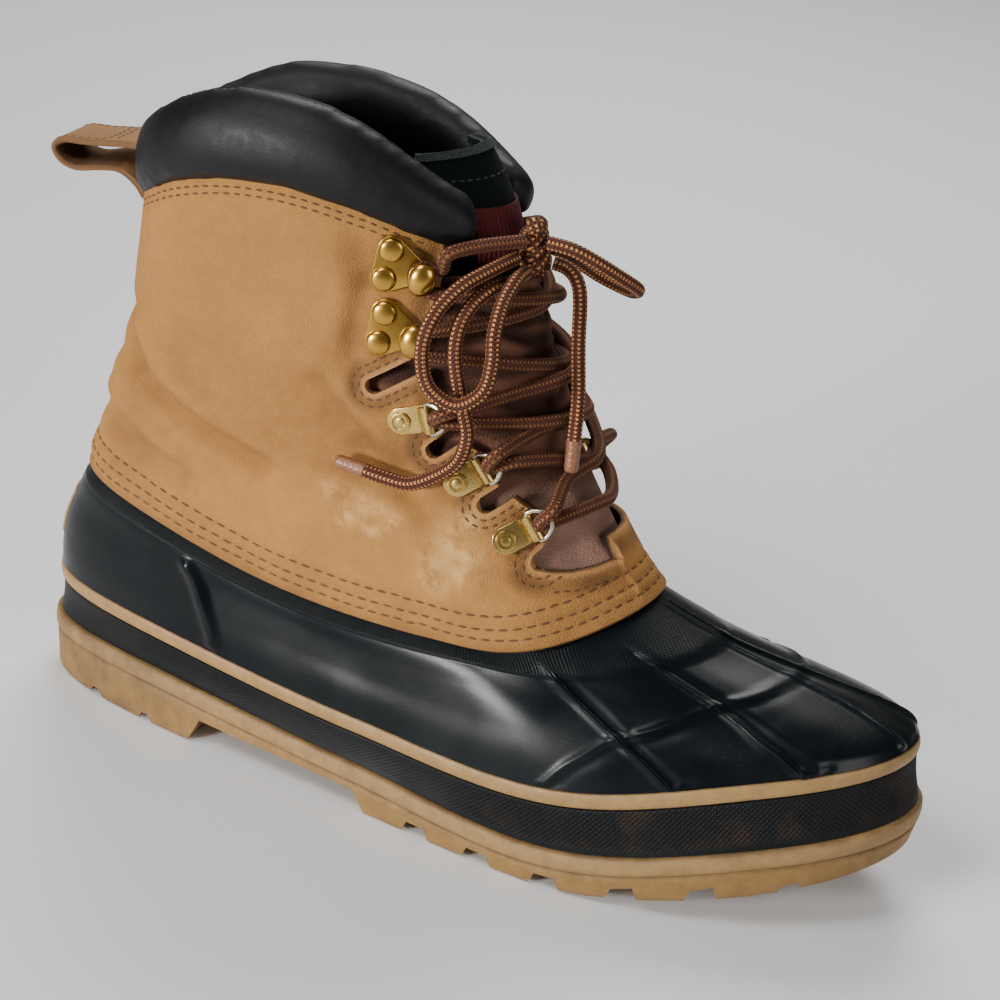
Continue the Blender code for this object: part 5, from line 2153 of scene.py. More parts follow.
TONGUE_ROWS = (   # level below, level above, share of the way, half span, depth at side and middle
    ("hem", "shaft_1", 0.75, 0.85, 4.4, 2.8),
    ("hem", "shaft_1", 1.00, 0.88, 4.8, 3.0),
    ("shaft_1", "shaft_2", 0.60, 0.92, 4.8, 3.8),
    ("shaft_1", "shaft_2", 1.00, 0.95, 4.8, 4.6),
    ("shaft_2", "shaft_3", 1.00, 1.10, 4.8, 5.2),
    ("shaft_3", "shaft_4", 1.00, 1.27, 4.2, 4.2),
    ("shaft_4", "shaft_5", 1.00, 1.40, 3.4, 2.6),
    ("shaft_5", "shaft_6", 1.00, 1.25, 2.6, 0.5),
    ("shaft_6", "shaft_7", 1.00, 1.00, 2.6, -1.2),
    ("tongue_low", "tongue_mid", 0.00, 0.90, 0.0, 0.0),
    ("tongue_low", "tongue_mid", 1.00, 0.90, 0.0, 0.0),
    ("tongue_mid", "tongue_top", 0.50, 0.90, 0.0, 0.0),
    ("tongue_mid", "tongue_top", 1.00, 0.78, 0.0, 0.0),
)


@dataclass
class Tongue:
    """The bellows tongue: soft brown gusset, a red woven band and a green fabric top with a hem."""

    columns: int = 110
    rows: int = 150
    thickness: float = 2.4
    band: tuple = (0.735, 0.832)        # shares of the way up
    folds: tuple = ((126, 2.4, -1.6), (135, 2.6, -1.8), (144, 2.4, -1.8), (153, 2.2, -2.4),
                    (161, 2.0, -2.8), (168, 1.9, -2.8), (174.5, 1.8, -2.6), (180.5, 1.7, -2.2))
    gusset_look: Finish = GussetSuede(
        "gusset_suede", (0.33, 0.185, 0.135), 0.92, relief=0.25, specular=0.25)
    fabric_look: Finish = Cloth(
        "tongue_fabric", (0.0035, 0.008, 0.008), 0.92, relief=0.25, specular=0.2, pitch=1.1,
        fleck=(0.008, 0.015, 0.014))
    band_look: Finish = Cloth(
        "red_webbing", (0.13, 0.002, 0.003), 0.85, relief=0.35, pitch=1.5, ribbed=True,
        fleck=(0.14, 0.008, 0.008))
    hem_look: Finish = Cloth(
        "hem_binding", (0.055, 0.075, 0.072), 0.9, relief=0.35, pitch=0.9,
        fleck=(0.13, 0.16, 0.15))

    def faces(self) -> tuple[Array, Array]:
        """Rows of the tongue's outer face, and their normals.

        Returns:
            The rows and their normals.
        """
        rows, depths = [], []
        for low, high, share, span, side_depth, middle_depth in TONGUE_ROWS:
            narrow = 1.0
            if low == "tongue_mid":
                narrow = 0.62 if share == 1 else 0.8
            offsets = np.linspace(-span, span * narrow, self.columns)
            low_row, high_row = (LAST.level(name, math.pi + offsets) for name in (low, high))
            rows.append(low_row + (high_row - low_row) * share)
            side = smooth_step((np.abs(offsets) - 0.15) / 0.4)
            depths.append(middle_depth + (side_depth - middle_depth) * side)
        at = np.linspace(0, len(rows) - 1, self.rows)
        rows = catmull(np.array(rows), at)
        depths = catmull(np.array(depths), at)[..., None]
        normals = surface_normals(rows, closed=False)
        return rows - normals * depths, normals

    def build(self) -> list:
        """The tongue's pieces.

        Returns:
            The pieces.
        """
        outer, normals = self.faces()
        across = np.linspace(-1, 1, self.columns)[None, :]
        y, z = outer[..., 1], outer[..., 2]
        pleats = np.zeros(outer.shape[:2])
        for height, width, amount in self.folds:
            run = 2.4 * np.sin(y * 0.13 + height) + 0.8 * np.sin(y * 0.37 + 2 * height)
            pleats += (amount * bell(z - height - run, width)
                       * (0.75 + 0.25 * np.sin(y * 0.2 + height)))
        low = smooth_step((150 - z) / 12)
        lift = pleats + low * (-0.5 - 0.55 * np.cos(y * 0.42 + 0.5)
                               - 0.3 * np.sin(z * 0.21 + y * 0.11))
        lift *= 1 - smooth_step((z - 184) / 4)
        up = np.linspace(0, 1, self.rows)[:, None]
        lift += 1.1 * np.sin(across * 4.2 + 0.7) * smooth_step((up - 0.8) / 0.2)
        outer = outer + normals * lift[..., None]
        thin = self.thickness * (1 - 0.35 * smooth_step((np.abs(across) - 0.93) / 0.07))
        high = smooth_step((z - 116) / 8)
        body = self.closed("tongue_body", outer, outer - normals * thin[..., None], {
            # where the finish paints shade in the fold troughs and a highlight on the ridges
            "trough": 0.85 * np.clip(-pleats / 1.8 - 0.15, 0, 1) * high,
            "ridge": 0.75 * np.clip(1 + pleats / 0.7, 0, 1) * high})
        tidy(body, "gusset_leather", self.gusset_look.build(), "tongue")
        body.data.materials.append(self.fabric_look.build())
        start, stop = (int(share * (self.rows - 1)) for share in self.band)
        self.paint_top(body, outer[stop - 16:, :, 2].min())
        half = slice(self.columns // 2 - 34, self.columns // 2 + 35)
        face, ways = outer[start:stop, half], normals[start:stop, half]
        band = self.closed("tongue_band", face + ways * 0.9, face + ways * 0.1)
        tidy(band, "gusset_leather", self.band_look.build())
        face, ways = outer[-5:], normals[-5:]
        hem = self.closed("tongue_hem", face + ways * 0.55, face - ways * (self.thickness + 0.55))
        tidy(hem, "gusset_leather", self.hem_look.build())
        rows = Stitching("tongue_stitches", pitch=2.6, length=1.9, radius=0.32)
        rows.row(outer[-16, 2:-2] + normals[-16, 2:-2] * 0.05, normals[-16, 2:-2])
        stitches = rows.finish()
        tidy(stitches, "gusset_leather", replace(STITCH_BROWN, name="tongue_thread",
                                                 colour=(0.02, 0.03, 0.028)).build())
        return [body, band, hem, stitches]

    def closed(self, name: str, face: Array, back: Array,
               masks: dict | None = None) -> Piece:
        """A sheet with a front, a back and closed edges; masks are values over its front.

        Args:
            name: the piece's name.
            face: rows of its front.
            back: rows of its back.
            masks: named values for each point of its front.

        Returns:
            The new piece.
        """
        both = np.concatenate((face, back[:, ::-1]), axis=1)
        ends = [np.concatenate(((row + rear) / 2, ((row + rear) / 2)[::-1]))[None]
                for row, rear in ((face[0], back[0]), (face[-1], back[-1]))]
        both = np.concatenate((ends[0], both, ends[1]))
        layers = {key: np.pad(np.concatenate((value, 0 * value), axis=1), ((1, 1), (0, 0)), "edge")
                  for key, value in (masks or {}).items()}
        return grid_piece(name, both, uv=pattern_uv(both), masks=layers, sharp=60.0)

    def paint_top(self, body: Piece, height: float) -> None:
        """Give the faces above a height the fabric.

        Args:
            body: the tongue.
            height: the least height of the fabric.
        """
        limit = (height - LAST_ORIGIN[2]) * MM
        for face in body.data.polygons:
            if face.center.z > limit:
                face.material_index = 1


@dataclass
class PaddedCollar:
    """The soft padded collar, filled by a cloth simulation."""

    end: float = 2.56
    steps: int = 120
    around: int = 60
    heights: dict = field(default_factory=lambda: {
        Side.LATERAL: (27, 28, 28.5, 26, 19, 14), Side.MEDIAL: (27, 26, 23.5, 21.5, 17.5, 14)})
    bulges: dict = field(default_factory=lambda: {
        Side.LATERAL: (0.5, 0.8, 1, 1, 0.9, 0.8), Side.MEDIAL: (0.5, 0.8, 1, 1.1, 1.1, 1)})
    depth: tuple = (1, 1, 1, 0.9, 0.7, 0.55)
    section: tuple = (
        (1.2, -0.06), (5.2, 0.10), (6.9, 0.36), (5.7, 0.67), (1.5, 0.90), (-4, 1.0), (-9, 0.86),
        (-11.5, 0.55), (-11, 0.24), (-8, -0.02),
    )
    voxel: float = 3.0
    cap: float = 3.5            # most that the filling moves a point
    cap_length: float = 3.6     # how far each rounded end reaches
    shrink: float = 0.985
    frames: int = 20
    cloth: dict = field(default_factory=lambda: {
        "use_pressure": True, "uniform_pressure_force": 4.0, "quality": 5,
        "tension_stiffness": 18.0, "compression_stiffness": 8.0, "shear_stiffness": 8.0,
        "bending_stiffness": 0.6})
    look: Finish = SoftLeather(
        "collar_hide", (0.0018, 0.0019, 0.0026), 0.5, relief=0.05, specular=0.28)

    def sections(self) -> Array:
        """Closed sections along the collar.

        Returns:
            The sections, from one end to the other.
        """
        angles = np.linspace(-self.end, self.end, self.steps + 1)
        edge = LAST.level("shaft_top", angles)
        ahead = np.gradient(edge, axis=0)
        s = (1 - np.cos(angles)) / 2
        heights, bulges = (np.where(angles > 0, LAST.along(table[Side.LATERAL], s),
                                    LAST.along(table[Side.MEDIAL], s))
                           for table in (self.heights, self.bulges))
        depths = LAST.along(self.depth, s)
        outline = np.array(self.section)
        closed = np.concatenate((outline[-1:], outline, outline[:2]))
        fine = catmull(closed, np.linspace(1, len(outline) + 1, self.around + 1))[:-1]
        wide = fine[:, 0] * np.where(fine[:, 0] > 0, bulges[:, None], depths[:, None])
        tall = np.maximum(fine[:, 1], -0.05) * heights[:, None] + GAP
        rows = (edge[:, None] + outwards(ahead)[:, None] * wide[..., None]
                + np.array((0, 0, 1.0)) * tall[..., None])
        way = unit(ahead)
        caps = []
        for end, sign in ((0, -1), (-1, 1)):
            centre = rows[end].mean(axis=0)
            caps.append([centre + (rows[end] - centre) * math.cos(t)
                         + way[end] * sign * self.cap_length * math.sin(t)
                         for t in np.radians((22, 45, 65, 80, 90))])
        return np.concatenate((caps[0][::-1], rows, caps[1]))

    def build(self) -> list:
        """The collar and the seam along its inner rim.

        Returns:
            The pieces.
        """
        rows = self.sections()
        collar = grid_piece("padded_collar_body", rows, sharp=80.0)
        self.fill(collar, rows.mean(axis=1))
        look = self.look.build()
        tidy(collar, "collar_leather", look, "padded_collar")
        return [collar, *self.seam(rows, Skin(collar), look)]

    def fill(self, collar: Piece, middles: Array) -> None:
        """Swell the collar from a slightly smaller shape, and keep the result near its form.

        Args:
            collar: the collar as drawn.
            middles: the middles of its sections.
        """
        plain = piece_points(collar)
        nearest = np.argmin(np.linalg.norm(plain[:, None] - middles[None], axis=2), axis=1)
        centre = middles[nearest]
        small = centre + (plain - centre) * self.shrink
        collar.data.vertices.foreach_set("co", place(small).ravel())
        collar.data.update()
        remesh = collar.modifiers.new("remesh", "REMESH")
        remesh.mode, remesh.voxel_size = "VOXEL", self.voxel * MM
        bake_modifiers(collar)
        before = place(piece_points(collar))
        cloth = collar.modifiers.new("cloth", "CLOTH")
        for key, value in self.cloth.items():
            setattr(cloth.settings, key, value)
        cloth.settings.effector_weights.gravity = 0.0
        cloth.point_cache.frame_start, cloth.point_cache.frame_end = 1, self.frames
        scene = bpy.context.scene
        for step in range(1, self.frames + 1):
            scene.frame_set(step)
        shown = collar.evaluated_get(bpy.context.evaluated_depsgraph_get())
        move = place(piece_points(shown)) - before
        size = np.linalg.norm(move, axis=1, keepdims=True)
        move *= np.minimum(1.0, self.cap * MM / np.maximum(size, 1e-9))
        LOG.info("collar filled: moved %.1f mm at most", size.max() / MM)
        collar.modifiers.clear()
        collar.data.vertices.foreach_set("co", (before + move).ravel())
        scene.frame_set(1)
        even = collar.modifiers.new("even", "SMOOTH")
        even.factor, even.iterations = 0.5, 5
        smooth = collar.modifiers.new("smooth", "SUBSURF")
        smooth.levels = smooth.render_levels = 1
        bake_modifiers(collar)
        shade(collar.data, 80.0)

    def seam(self, rows: Array, skin: Skin, look: Material) -> list:
        """A welt along the collar's inner rim, with fine stitches beside it.

        Args:
            rows: the collar's sections.
            skin: the collar's surface.
            look: the collar's finish.

        Returns:
            The welt and the stitches.
        """
        rim = int(self.around * 0.545)
        part = slice(len(rows) // 2 + 6, -9)
        edge = resample(rows[part, rim], 2.0)
        line, normals = skin.nearest(edge)
        welt = tube("collar_welt", line - normals * 0.25, 0.6, sides=10)
        tidy(welt, "collar_leather", look)
        beside = rows[part, rim - 3]
        near = np.array([beside[np.argmin(np.linalg.norm(beside - p, axis=1))] for p in edge])
        stitches = Stitching("collar_stitches", pitch=3.0, length=2.0, radius=0.3)
        stitches.row(*skin.nearest(edge + (near - edge) * 0.9))
        piece = stitches.finish()
        tidy(piece, "collar_leather", replace(STITCH_BROWN, name="collar_thread", roughness=0.6,
                                              colour=(0.035, 0.036, 0.04)).build())
        return [welt, piece]


@dataclass
class PullLoop:
    """The strap loop at the back, dark inside, with stitches at its root."""

    route: tuple = (
        (22.0, 175.8), (18.5, 179.8), (12.5, 182.6), (5, 181.4), (-3, 179.2), (-8.8, 180.2),
        (-11.8, 184), (-8.5, 187), (-1, 188), (8, 189.6), (14.0, 190.8), (18.6, 191.2),
    )
    centre: tuple = (0.5, 184.5)    # middle of the loop's opening
    width: float = 21.5
    thickness: float = 2.2
    corner: float = 0.8
    look: Finish = LoopLeather(
        "strap_leather", (0.34, 0.18, 0.075), 0.88, relief=0.2, specular=0.3)

    def section(self, width: float) -> Array:
        """Across and outward places of the strap's section, with rounded edges.

        Args:
            width: the strap's width.

        Returns:
            The places, all round.
        """
        half, corner = self.thickness / 2, self.corner
        reach = width / 2 - corner
        edge = [(reach + corner * math.cos(t), (half - corner) * np.sign(math.sin(t))
                 + corner * math.sin(t)) for t in np.radians((-90, -60, -30, 30, 60, 90))]
        steps = np.linspace(-1, 1, 9)[1:-1]
        top, bottom = [(-reach * k, half) for k in steps], [(reach * k, -half) for k in steps]
        return np.array(edge + top + [(-a, -b) for a, b in edge] + bottom)

    def strap(self, path: Array) -> Piece:
        """The strap along its path, with how near each point is to the edge.

        Args:
            path: the strap's middle line.

        Returns:
            The strap.
        """
        share = np.linspace(0, 1, len(path))
        width = self.width - 1.6 * np.sin(share * math.pi) ** 2
        across = np.stack((0.03 * np.sin(share * 5), np.ones(len(path)), 0.05 * np.cos(share * 4)),
                          axis=1)
        out = unit(np.cross(np.gradient(path, axis=0), across))
        flat = np.array([self.section(w) for w in width])
        rings = path[:, None] + across[:, None] * flat[..., :1] + out[:, None] * flat[..., 1:]
        rings = np.concatenate((rings[:1] * 0 + path[0], rings, rings[:1] * 0 + path[-1]))
        marks = lengths_along(path)
        marks = np.concatenate((marks[:1], marks, marks[-1:]))
        uv = np.stack(np.meshgrid(np.linspace(0, 1, rings.shape[1] + 1), marks), axis=-1)
        reach = np.maximum(np.pad(width / 2, 1), 0.01)[:, None]
        middle = np.concatenate((path[:1], path, path[-1:]))
        near = np.linalg.norm(rings - middle[:, None], axis=2) / reach
        return grid_piece("pull_loop_body", rings, uv=uv, masks={"edge": np.clip(near, 0, 1)})

    def build(self) -> list:
        """The loop and its stitches.

        Returns:
            The pieces.
        """
        path = smooth_route(np.array([(x, 0.0, z) for x, z in self.route]), 1.2)
        loop = self.strap(path)
        flat, line = piece_points(loop)[:, [0, 2]], path[:, [0, 2]]
        middle = line[np.argmin(np.linalg.norm(flat[:, None] - line[None], axis=2), axis=1)]
        inwards = ((flat - middle) * (np.array(self.centre) - middle)).sum(axis=1)
        mark(loop, "inner", smooth_step(inwards * 0.25))
        tidy(loop, "loop_leather", self.look.build(), "pull_loop")
        skin = Skin(loop)
        rows = Stitching("loop_stitches", pitch=2.8, length=2.0, radius=0.36)
        for x, z in ((9.5, 191.6), (6.8, 191.2)):
            line = np.stack((np.full(16, x), np.linspace(-7.5, 7.5, 16), np.full(16, z)), axis=1)
            rows.row(*skin.nearest(line))
        for y in (-8.6, 8.6):
            part = path[int(len(path) * 0.55):int(len(path) * 0.86)] + np.array((0, y, 1.5))
            rows.row(*skin.nearest(part))
        piece = rows.finish()
        tidy(piece, "loop_leather", STITCH_BROWN.build())
        return [loop, piece]


# ---- fittings

SHEET = 1.1                 # thickness of the fittings' plates
HOOKS = {"upper": (116.5, 184.0, -8.0), "lower": (117.2, 163.8, -4.0)}
CLIPS = {"upper": (127.0, 135.2, 20.0), "middle": (147.0, 119.2, 40.0),
         "lower": (164.2, 103.4, 38.0)}
HOOK_DROP = {Side.LATERAL: 0.0, Side.MEDIAL: 5.0}
CLIP_BACK = {Side.LATERAL: 0.0, Side.MEDIAL: 4.0}
HOOK_REACH = 11.0           # from the rivets to the hook's stem
CLIP_REACH = 9.6            # from the rivet to the clip's fold
RING_REACH = 6.0
RING_WIRE = 0.85
FOLD_MIDDLE = 2.2           # height of the fold's middle


@lru_cache(maxsize=None)
def hook_frame(side: Side, where: str) -> Matrix:
    """Frame of a speed hook on the leather."""
    x, z, tilt = HOOKS[where]
    return LAST.wall_frame(side, x, z - HOOK_DROP[side], math.radians(tilt))


@lru_cache(maxsize=None)
def clip_frame(side: Side, where: str) -> Matrix:
    """Frame of a lace clip on the leather."""
    x, z, tilt = CLIPS[where]
    return LAST.wall_frame(side, x - CLIP_BACK[side], z, math.radians(tilt))


def rivet(bm: BMesh, centre: tuple, radius: float, ringed: bool) -> None:
    """Add a rivet head: a dome on a thin flange, or a flat head with a ring.

    Args:
        bm: the bmesh.
        centre: middle of the rivet's foot.
        radius: its radius.
        ringed: whether it is the flat kind.
    """
    if ringed:
        profile = ((1, -0.4), (1, 0.55), (0.95, 0.85), (0.78, 0.95), (0.7, 0.62), (0.55, 0.6),
                   (0.46, 0.98), (0.3, 1.12), (0.0, 1.15))
    else:
        profile = ((1, -0.4), (1, 0.3), (0.985, 0.62), (0.9, 1.0), (0.74, 1.3), (0.5, 1.52),
                   (0.25, 1.63), (0.0, 1.66))
    lathe(bm, [(radius * share, height) for share, height in profile], centre)


@dataclass
class SpeedHooks:
    """The four brass speed hooks: a rounded plate, two domed rivets, a stem and an oval head."""

    rivets_apart: float = 9.6
    stem: tuple = ((2.7, 0.6), (2.35, 1.5), (2.0, 2.5), (1.95, 4.0), (2.4, 5.2), (3.0, 5.8))
    look: Finish = Brass(
        "hook_brass", (0.60, 0.35, 0.07), 0.22)

    def build(self) -> list:
        """All four.

        Returns:
            The hooks.
        """
        made = self.look.build()
        pieces = []
        for side in Side:
            for where in HOOKS:
                name = f"hook_{side.word}_{where}"
                pieces.append(self.one(name, hook_frame(side, where)))
                tidy(pieces[-1], "brass", made, name)
        return pieces

    def one(self, name: str, at: Matrix) -> Piece:
        """One hook on its frame.

        Args:
            name: the hook's name.
            at: its own frame.

        Returns:
            The hook.
        """
        bm = bmesh.new()
        half = self.rivets_apart / 2
        outline = (arc((HOOK_REACH - 1.5, 0), 3.4, -62, 62, 10) + arc((0, half), 4.4, 62, 180, 12)
                   + arc((0, -half), 4.4, 180, 298, 12))
        plate(bm, outline, SHEET, 0.35)
        for sign in (-1, 1):
            rivet(bm, (0, sign * half, SHEET), 3.85, False)
        lathe(bm, self.stem, (HOOK_REACH, 0, 0), 24)
        head = bmesh.ops.create_uvsphere(bm, u_segments=36, v_segments=18, radius=1.0)["verts"]
        for vert in head:
            x, y, z = vert.co
            z = z if z > 0 else z * 0.28
            vert.co = (HOOK_REACH + x * 4.3, y * 5.4, 5.9 + z * 2.5)
        return put(bm, f"{name}_body", at)


@dataclass
class LaceClips:
    """The six brass clips: a strap with a rolled fold, a ringed rivet, and a wire ring."""

    width: float = 8.8
    fold: float = 2.0
    sheet: float = 0.85         # thickness of the folded part
    ring_tilt: float = 18.0
    look: Finish = Brass(
        "clip_brass", (0.66, 0.46, 0.15), 0.25)
    wire_look: Finish = Brass(
        "ring_wire", (0.62, 0.58, 0.47), 0.25, tarnish=(0.35, 0.28, 0.16))

    def build(self) -> list:
        """All six, each with its ring.

        Returns:
            The clips and the rings.
        """
        made, wire = self.look.build(), self.wire_look.build()
        pieces = []
        for side in Side:
            for where in CLIPS:
                name = f"clip_{side.word}_{where}"
                at = clip_frame(side, where)
                piece = self.one(name, at)
                tidy(piece, "brass", made, name)
                ring = self.ring(name, at)
                tidy(ring, "brass", wire)
                pieces += [piece, ring]
        return pieces

    def one(self, name: str, at: Matrix) -> Piece:
        """The strap, its fold and its rivet.

        Args:
            name: the clip's name.
            at: its own frame.

        Returns:
            The clip.
        """
        bm = bmesh.new()
        half = self.width / 2
        outline = arc((0, 0), half, 90, 270, 18)
        outline += [(CLIP_REACH - 0.4, -half), (CLIP_REACH - 0.4, half)]
        plate(bm, outline, SHEET, 0.3)
        outer = arc((CLIP_REACH, FOLD_MIDDLE), self.fold, -100, 160, 22)
        inner = arc((CLIP_REACH, FOLD_MIDDLE), self.fold - self.sheet, 160, -100, 22)
        lip = [(CLIP_REACH - back, high) for back, high in (
            (2.6, 0.9), (2.6, 1.75), (1.2, 3.6), (1.9, 3.75), (3.4, 1.9), (3.4, 0.9))]
        for profile, margin in ((outer + inner, 0.15), (lip, 0.4)):
            extruded(bm, [(x, margin - half, z) for x, z in profile],
                     (0, self.width - 2 * margin, 0))
        rivet(bm, (0, 0, SHEET), 3.25, True)
        return put(bm, f"{name}_body", at)

    def ring(self, name: str, at: Matrix) -> Piece:
        """The wire ring, tilted up out of the fold.

        Args:
            name: the clip's name.
            at: the clip's own frame.

        Returns:
            The ring.
        """
        bow = [(RING_REACH * math.cos(t), 5.0 * math.sin(t), 0.0)
               for t in np.radians(np.linspace(-75, 75, 30))]
        foot = [(0.0, 3.0, 0.0), (0.0, 4.4, 0.0), (0.3, 4.9, 0.0)]
        path = [(x, -y, z) for x, y, z in foot] + bow + foot[::-1]
        lean = Matrix.Rotation(math.radians(-self.ring_tilt), 4, "Y")
        hinge = Matrix.Translation((CLIP_REACH, 0, FOLD_MIDDLE))
        points = np.array([at @ hinge @ lean @ Vector(point) for point in path])
        return tube(f"{name}_ring", smooth_route(points, 0.5), RING_WIRE, sides=12)


# ---- lace

OVER_TONGUE = {105: -1.2, 120: -1.8, 135: -0.6, 150: 1.2, 165: 3.0, 178: 4.4, 200: 4.4}
SIDES = (Side.LATERAL, Side.MEDIAL)


@dataclass
class Lace:
    """The tied lace: its laced part, its knot, and the loops and ends that hang free."""

    diameter: float = 4.5
    aglet_length: float = 10.0
    knot: tuple = (153.2, -6.4, 189.6)
    knot_lean: float = -14.0
    knot_turns: float = 3.1
    knot_core: tuple = ((0.4, -2.5, -8.5), (0.2, 0.5, -4.0), (0.0, 1.2, 0.0), (0.2, 0.3, 4.5),
                        (0.8, -1.6, 8.2), (2.0, -3.6, 8.6), (3.1, -4.6, 6.2))
    cross_over: float = 2.3
    to_knot: dict = field(default_factory=lambda: {
        Side.LATERAL: ((135, -32, 191), (141.5, -25, 193), (151.6, -13, 193.5)),
        Side.MEDIAL: ((139, 27, 184), (145.5, 18, 188.5), (152, 0.8, 192)),
    })
    free: dict = field(default_factory=lambda: {
        "bow_loop_lateral": (
            (150.5, -15.5, 188.5), (147.5, -25, 187.5), (142, -35, 184), (137.5, -41.5, 177.5),
            (135.5, -46, 169), (136.5, -47, 159.5), (140, -46.5, 153), (148, -45.5, 150),
            (155, -43.5, 155.5), (156, -41, 164), (154.5, -38, 172), (153.5, -31, 179.5),
            (154, -23, 184.5), (153.5, -13.5, 184),
        ),
        "lace_end_lateral": (
            (150.5, -19, 181), (148, -26, 181.5), (144.5, -32.5, 177.5), (143, -37.5, 171.5),
            (143.5, -40, 163.5), (146, -40.5, 154), (148.5, -40, 146), (150.5, -40, 138.5),
            (148.5, -39.5, 129.5), (142.5, -39.5, 123), (134, -39.5, 117.5), (126, -39.5, 117),
            (118.5, -39.5, 117.5),
        ),
        "bow_loop_medial": (
            (158, -8.5, 193), (166, -8, 192.5), (173.5, -4, 188.5), (179, 2, 183.5),
            (182.5, 9, 178.5), (179.5, 16, 174.5), (173.5, 19, 174), (166, 18, 176.5),
            (160, 12, 182), (155.5, 4, 187),
        ),
        "lace_end_medial": (
            (158.5, -3, 185), (162.5, -2, 184), (166.5, -3, 181.5), (169, -4.5, 176),
            (171.5, -8, 163), (175, -12, 147.5), (176.5, -15, 134.5),
        ),
    })
    look: Finish = Braid(
        "braided_lace", (0.085, 0.024, 0.010), 0.8, relief=0.4, specular=0.3)
    plain_look: Finish = Braid(
        "braided_lace_worn", (0.10, 0.032, 0.015), 0.84, relief=0.38, specular=0.3, flecked=0.35)
    aglet_look: Finish = AgletPlastic(
        "aglet_tips", (0.30, 0.12, 0.055), 0.35, relief=0.1)

    def build(self) -> list:
        """The free stretches with their tips, then the knot and the laced part.

        Returns:
            The pieces.
        """
        made, plain = self.look.build(), self.plain_look.build()
        knot = self.tie()
        tidy(knot, "lace_cord", made, "lace_knot")
        pieces = [knot]
        tips = self.aglet_look.build()
        for name, route in self.free.items():
            path = smooth_route(route, 1.2)
            piece = tube(f"{name}_cord", path, self.diameter / 2)
            tidy(piece, "lace_cord", made, name)
            with_pieces = [self.tip(name, path, tips)] if "end" in name else []
            pieces += [piece, *with_pieces]
        pieces.append(self.crossings(plain))
        return pieces

    def tip(self, name: str, path: Array, look: Material) -> Piece:
        """The hard tip on a lace's end.

        Args:
            name: the lace end's name.
            path: its path.
            look: the tip's finish.

        Returns:
            The tip.
        """
        way = unit(path[-1] - path[-3])
        node = name.replace("lace_end", "aglet")
        share = np.array((0.0, 0.03, 0.08, 0.2, 0.4, 0.6, 0.8, 0.93, 0.98, 1.0))
        radius = np.array((2.2, 2.42, 2.5, 2.4, 2.3, 2.3, 2.25, 2.1, 1.8, 1.2))
        points = path[-1] + way * (GAP - 0.5 + share[:, None] * (self.aglet_length + 0.3))
        piece = tube(f"{node}_tip", points, radius, sides=20)
        tidy(piece, "aglet_plastic", look, node)
        return piece

    def tie(self) -> Piece:
        """The knot: leaning wraps round a short core.

        Returns:
            The knot.
        """
        lean = Matrix.Translation(self.knot) @ Matrix.Rotation(math.radians(self.knot_lean), 4, "Y")
        turns = np.linspace(0, self.knot_turns, 200)
        x, y = 2.5 * np.cos(turns * TURN) - 0.3, 4.4 * np.sin(turns * TURN)
        wraps = np.stack((x, y, -5.8 + 3.75 * turns + 0.5 * y), axis=1)
        strands = [tube("strand", np.array([lean @ Vector(point) for point in line]),
                        self.diameter / 2 * 0.97)
                   for line in (wraps, smooth_route(self.knot_core, 0.8))]
        return joined("lace_knot_wraps", strands)

    def over_tongue(self, a: Array, b: Array, lift: float) -> list:
        """The middle of a stretch between two turns, which rides over the front of the tongue.

        Args:
            a: the first turn's end.
            b: the next turn's start.
            lift: how far the other strand holds it up.

        Returns:
            Three points.
        """
        angles = math.pi + np.linspace(-1.2, 1.2, 49)
        middle = []
        for share, lowest, part in ((0.25, 0.8, 0.25), (0.5, -9, 1.0), (0.75, 0.8, 0.25)):
            _, y, z = a + (b - a) * share
            ys = LAST.walls(angles, z)[:, 1]
            angle = float(np.interp(y, ys, angles))
            height = np.interp(z, list(OVER_TONGUE), list(OVER_TONGUE.values()))
            middle.append(LAST.wall(angle, z)
                          + LAST.wall_normal(angle, z) * (max(height, lowest) + lift * part))
        return middle

    def through(self, side: Side, level: int) -> list:
        """How the lace turns at a fitting, from below to above: 0 to 2 are clips, 3 and 4 hooks.

        Args:
            side: side of the fitting.
            level: which fitting, counted up.

        Returns:
            Points of the turn.
        """
        s = -side.value
        if level < 3:
            at = clip_frame(side, ("lower", "middle", "upper")[level])
            ring = CLIP_REACH + RING_REACH
            spots = ((ring + 4.5, -2.8 * s, 1.6), (CLIP_REACH + 3.1, -0.6 * s, 3.3),
                     (CLIP_REACH + 3.4, 1.2 * s, 6.2), (ring + 2.5, 2.8 * s, 7.6))
        else:
            at = hook_frame(side, ("lower", "upper")[level - 3])
            r = HOOK_REACH
            spots = ((r + 5.0, -4.0 * s, 3.4), (r + 0.4, -3.5 * s, 3.0), (r - 2.9, -1.5 * s, 2.9),
                     (r - 2.9, 1.5 * s, 2.9), (r + 0.4, 3.5 * s, 3.0), (r + 5.0, 4.0 * s, 3.4))
        return [np.array(at @ Vector(spot)) for spot in spots]

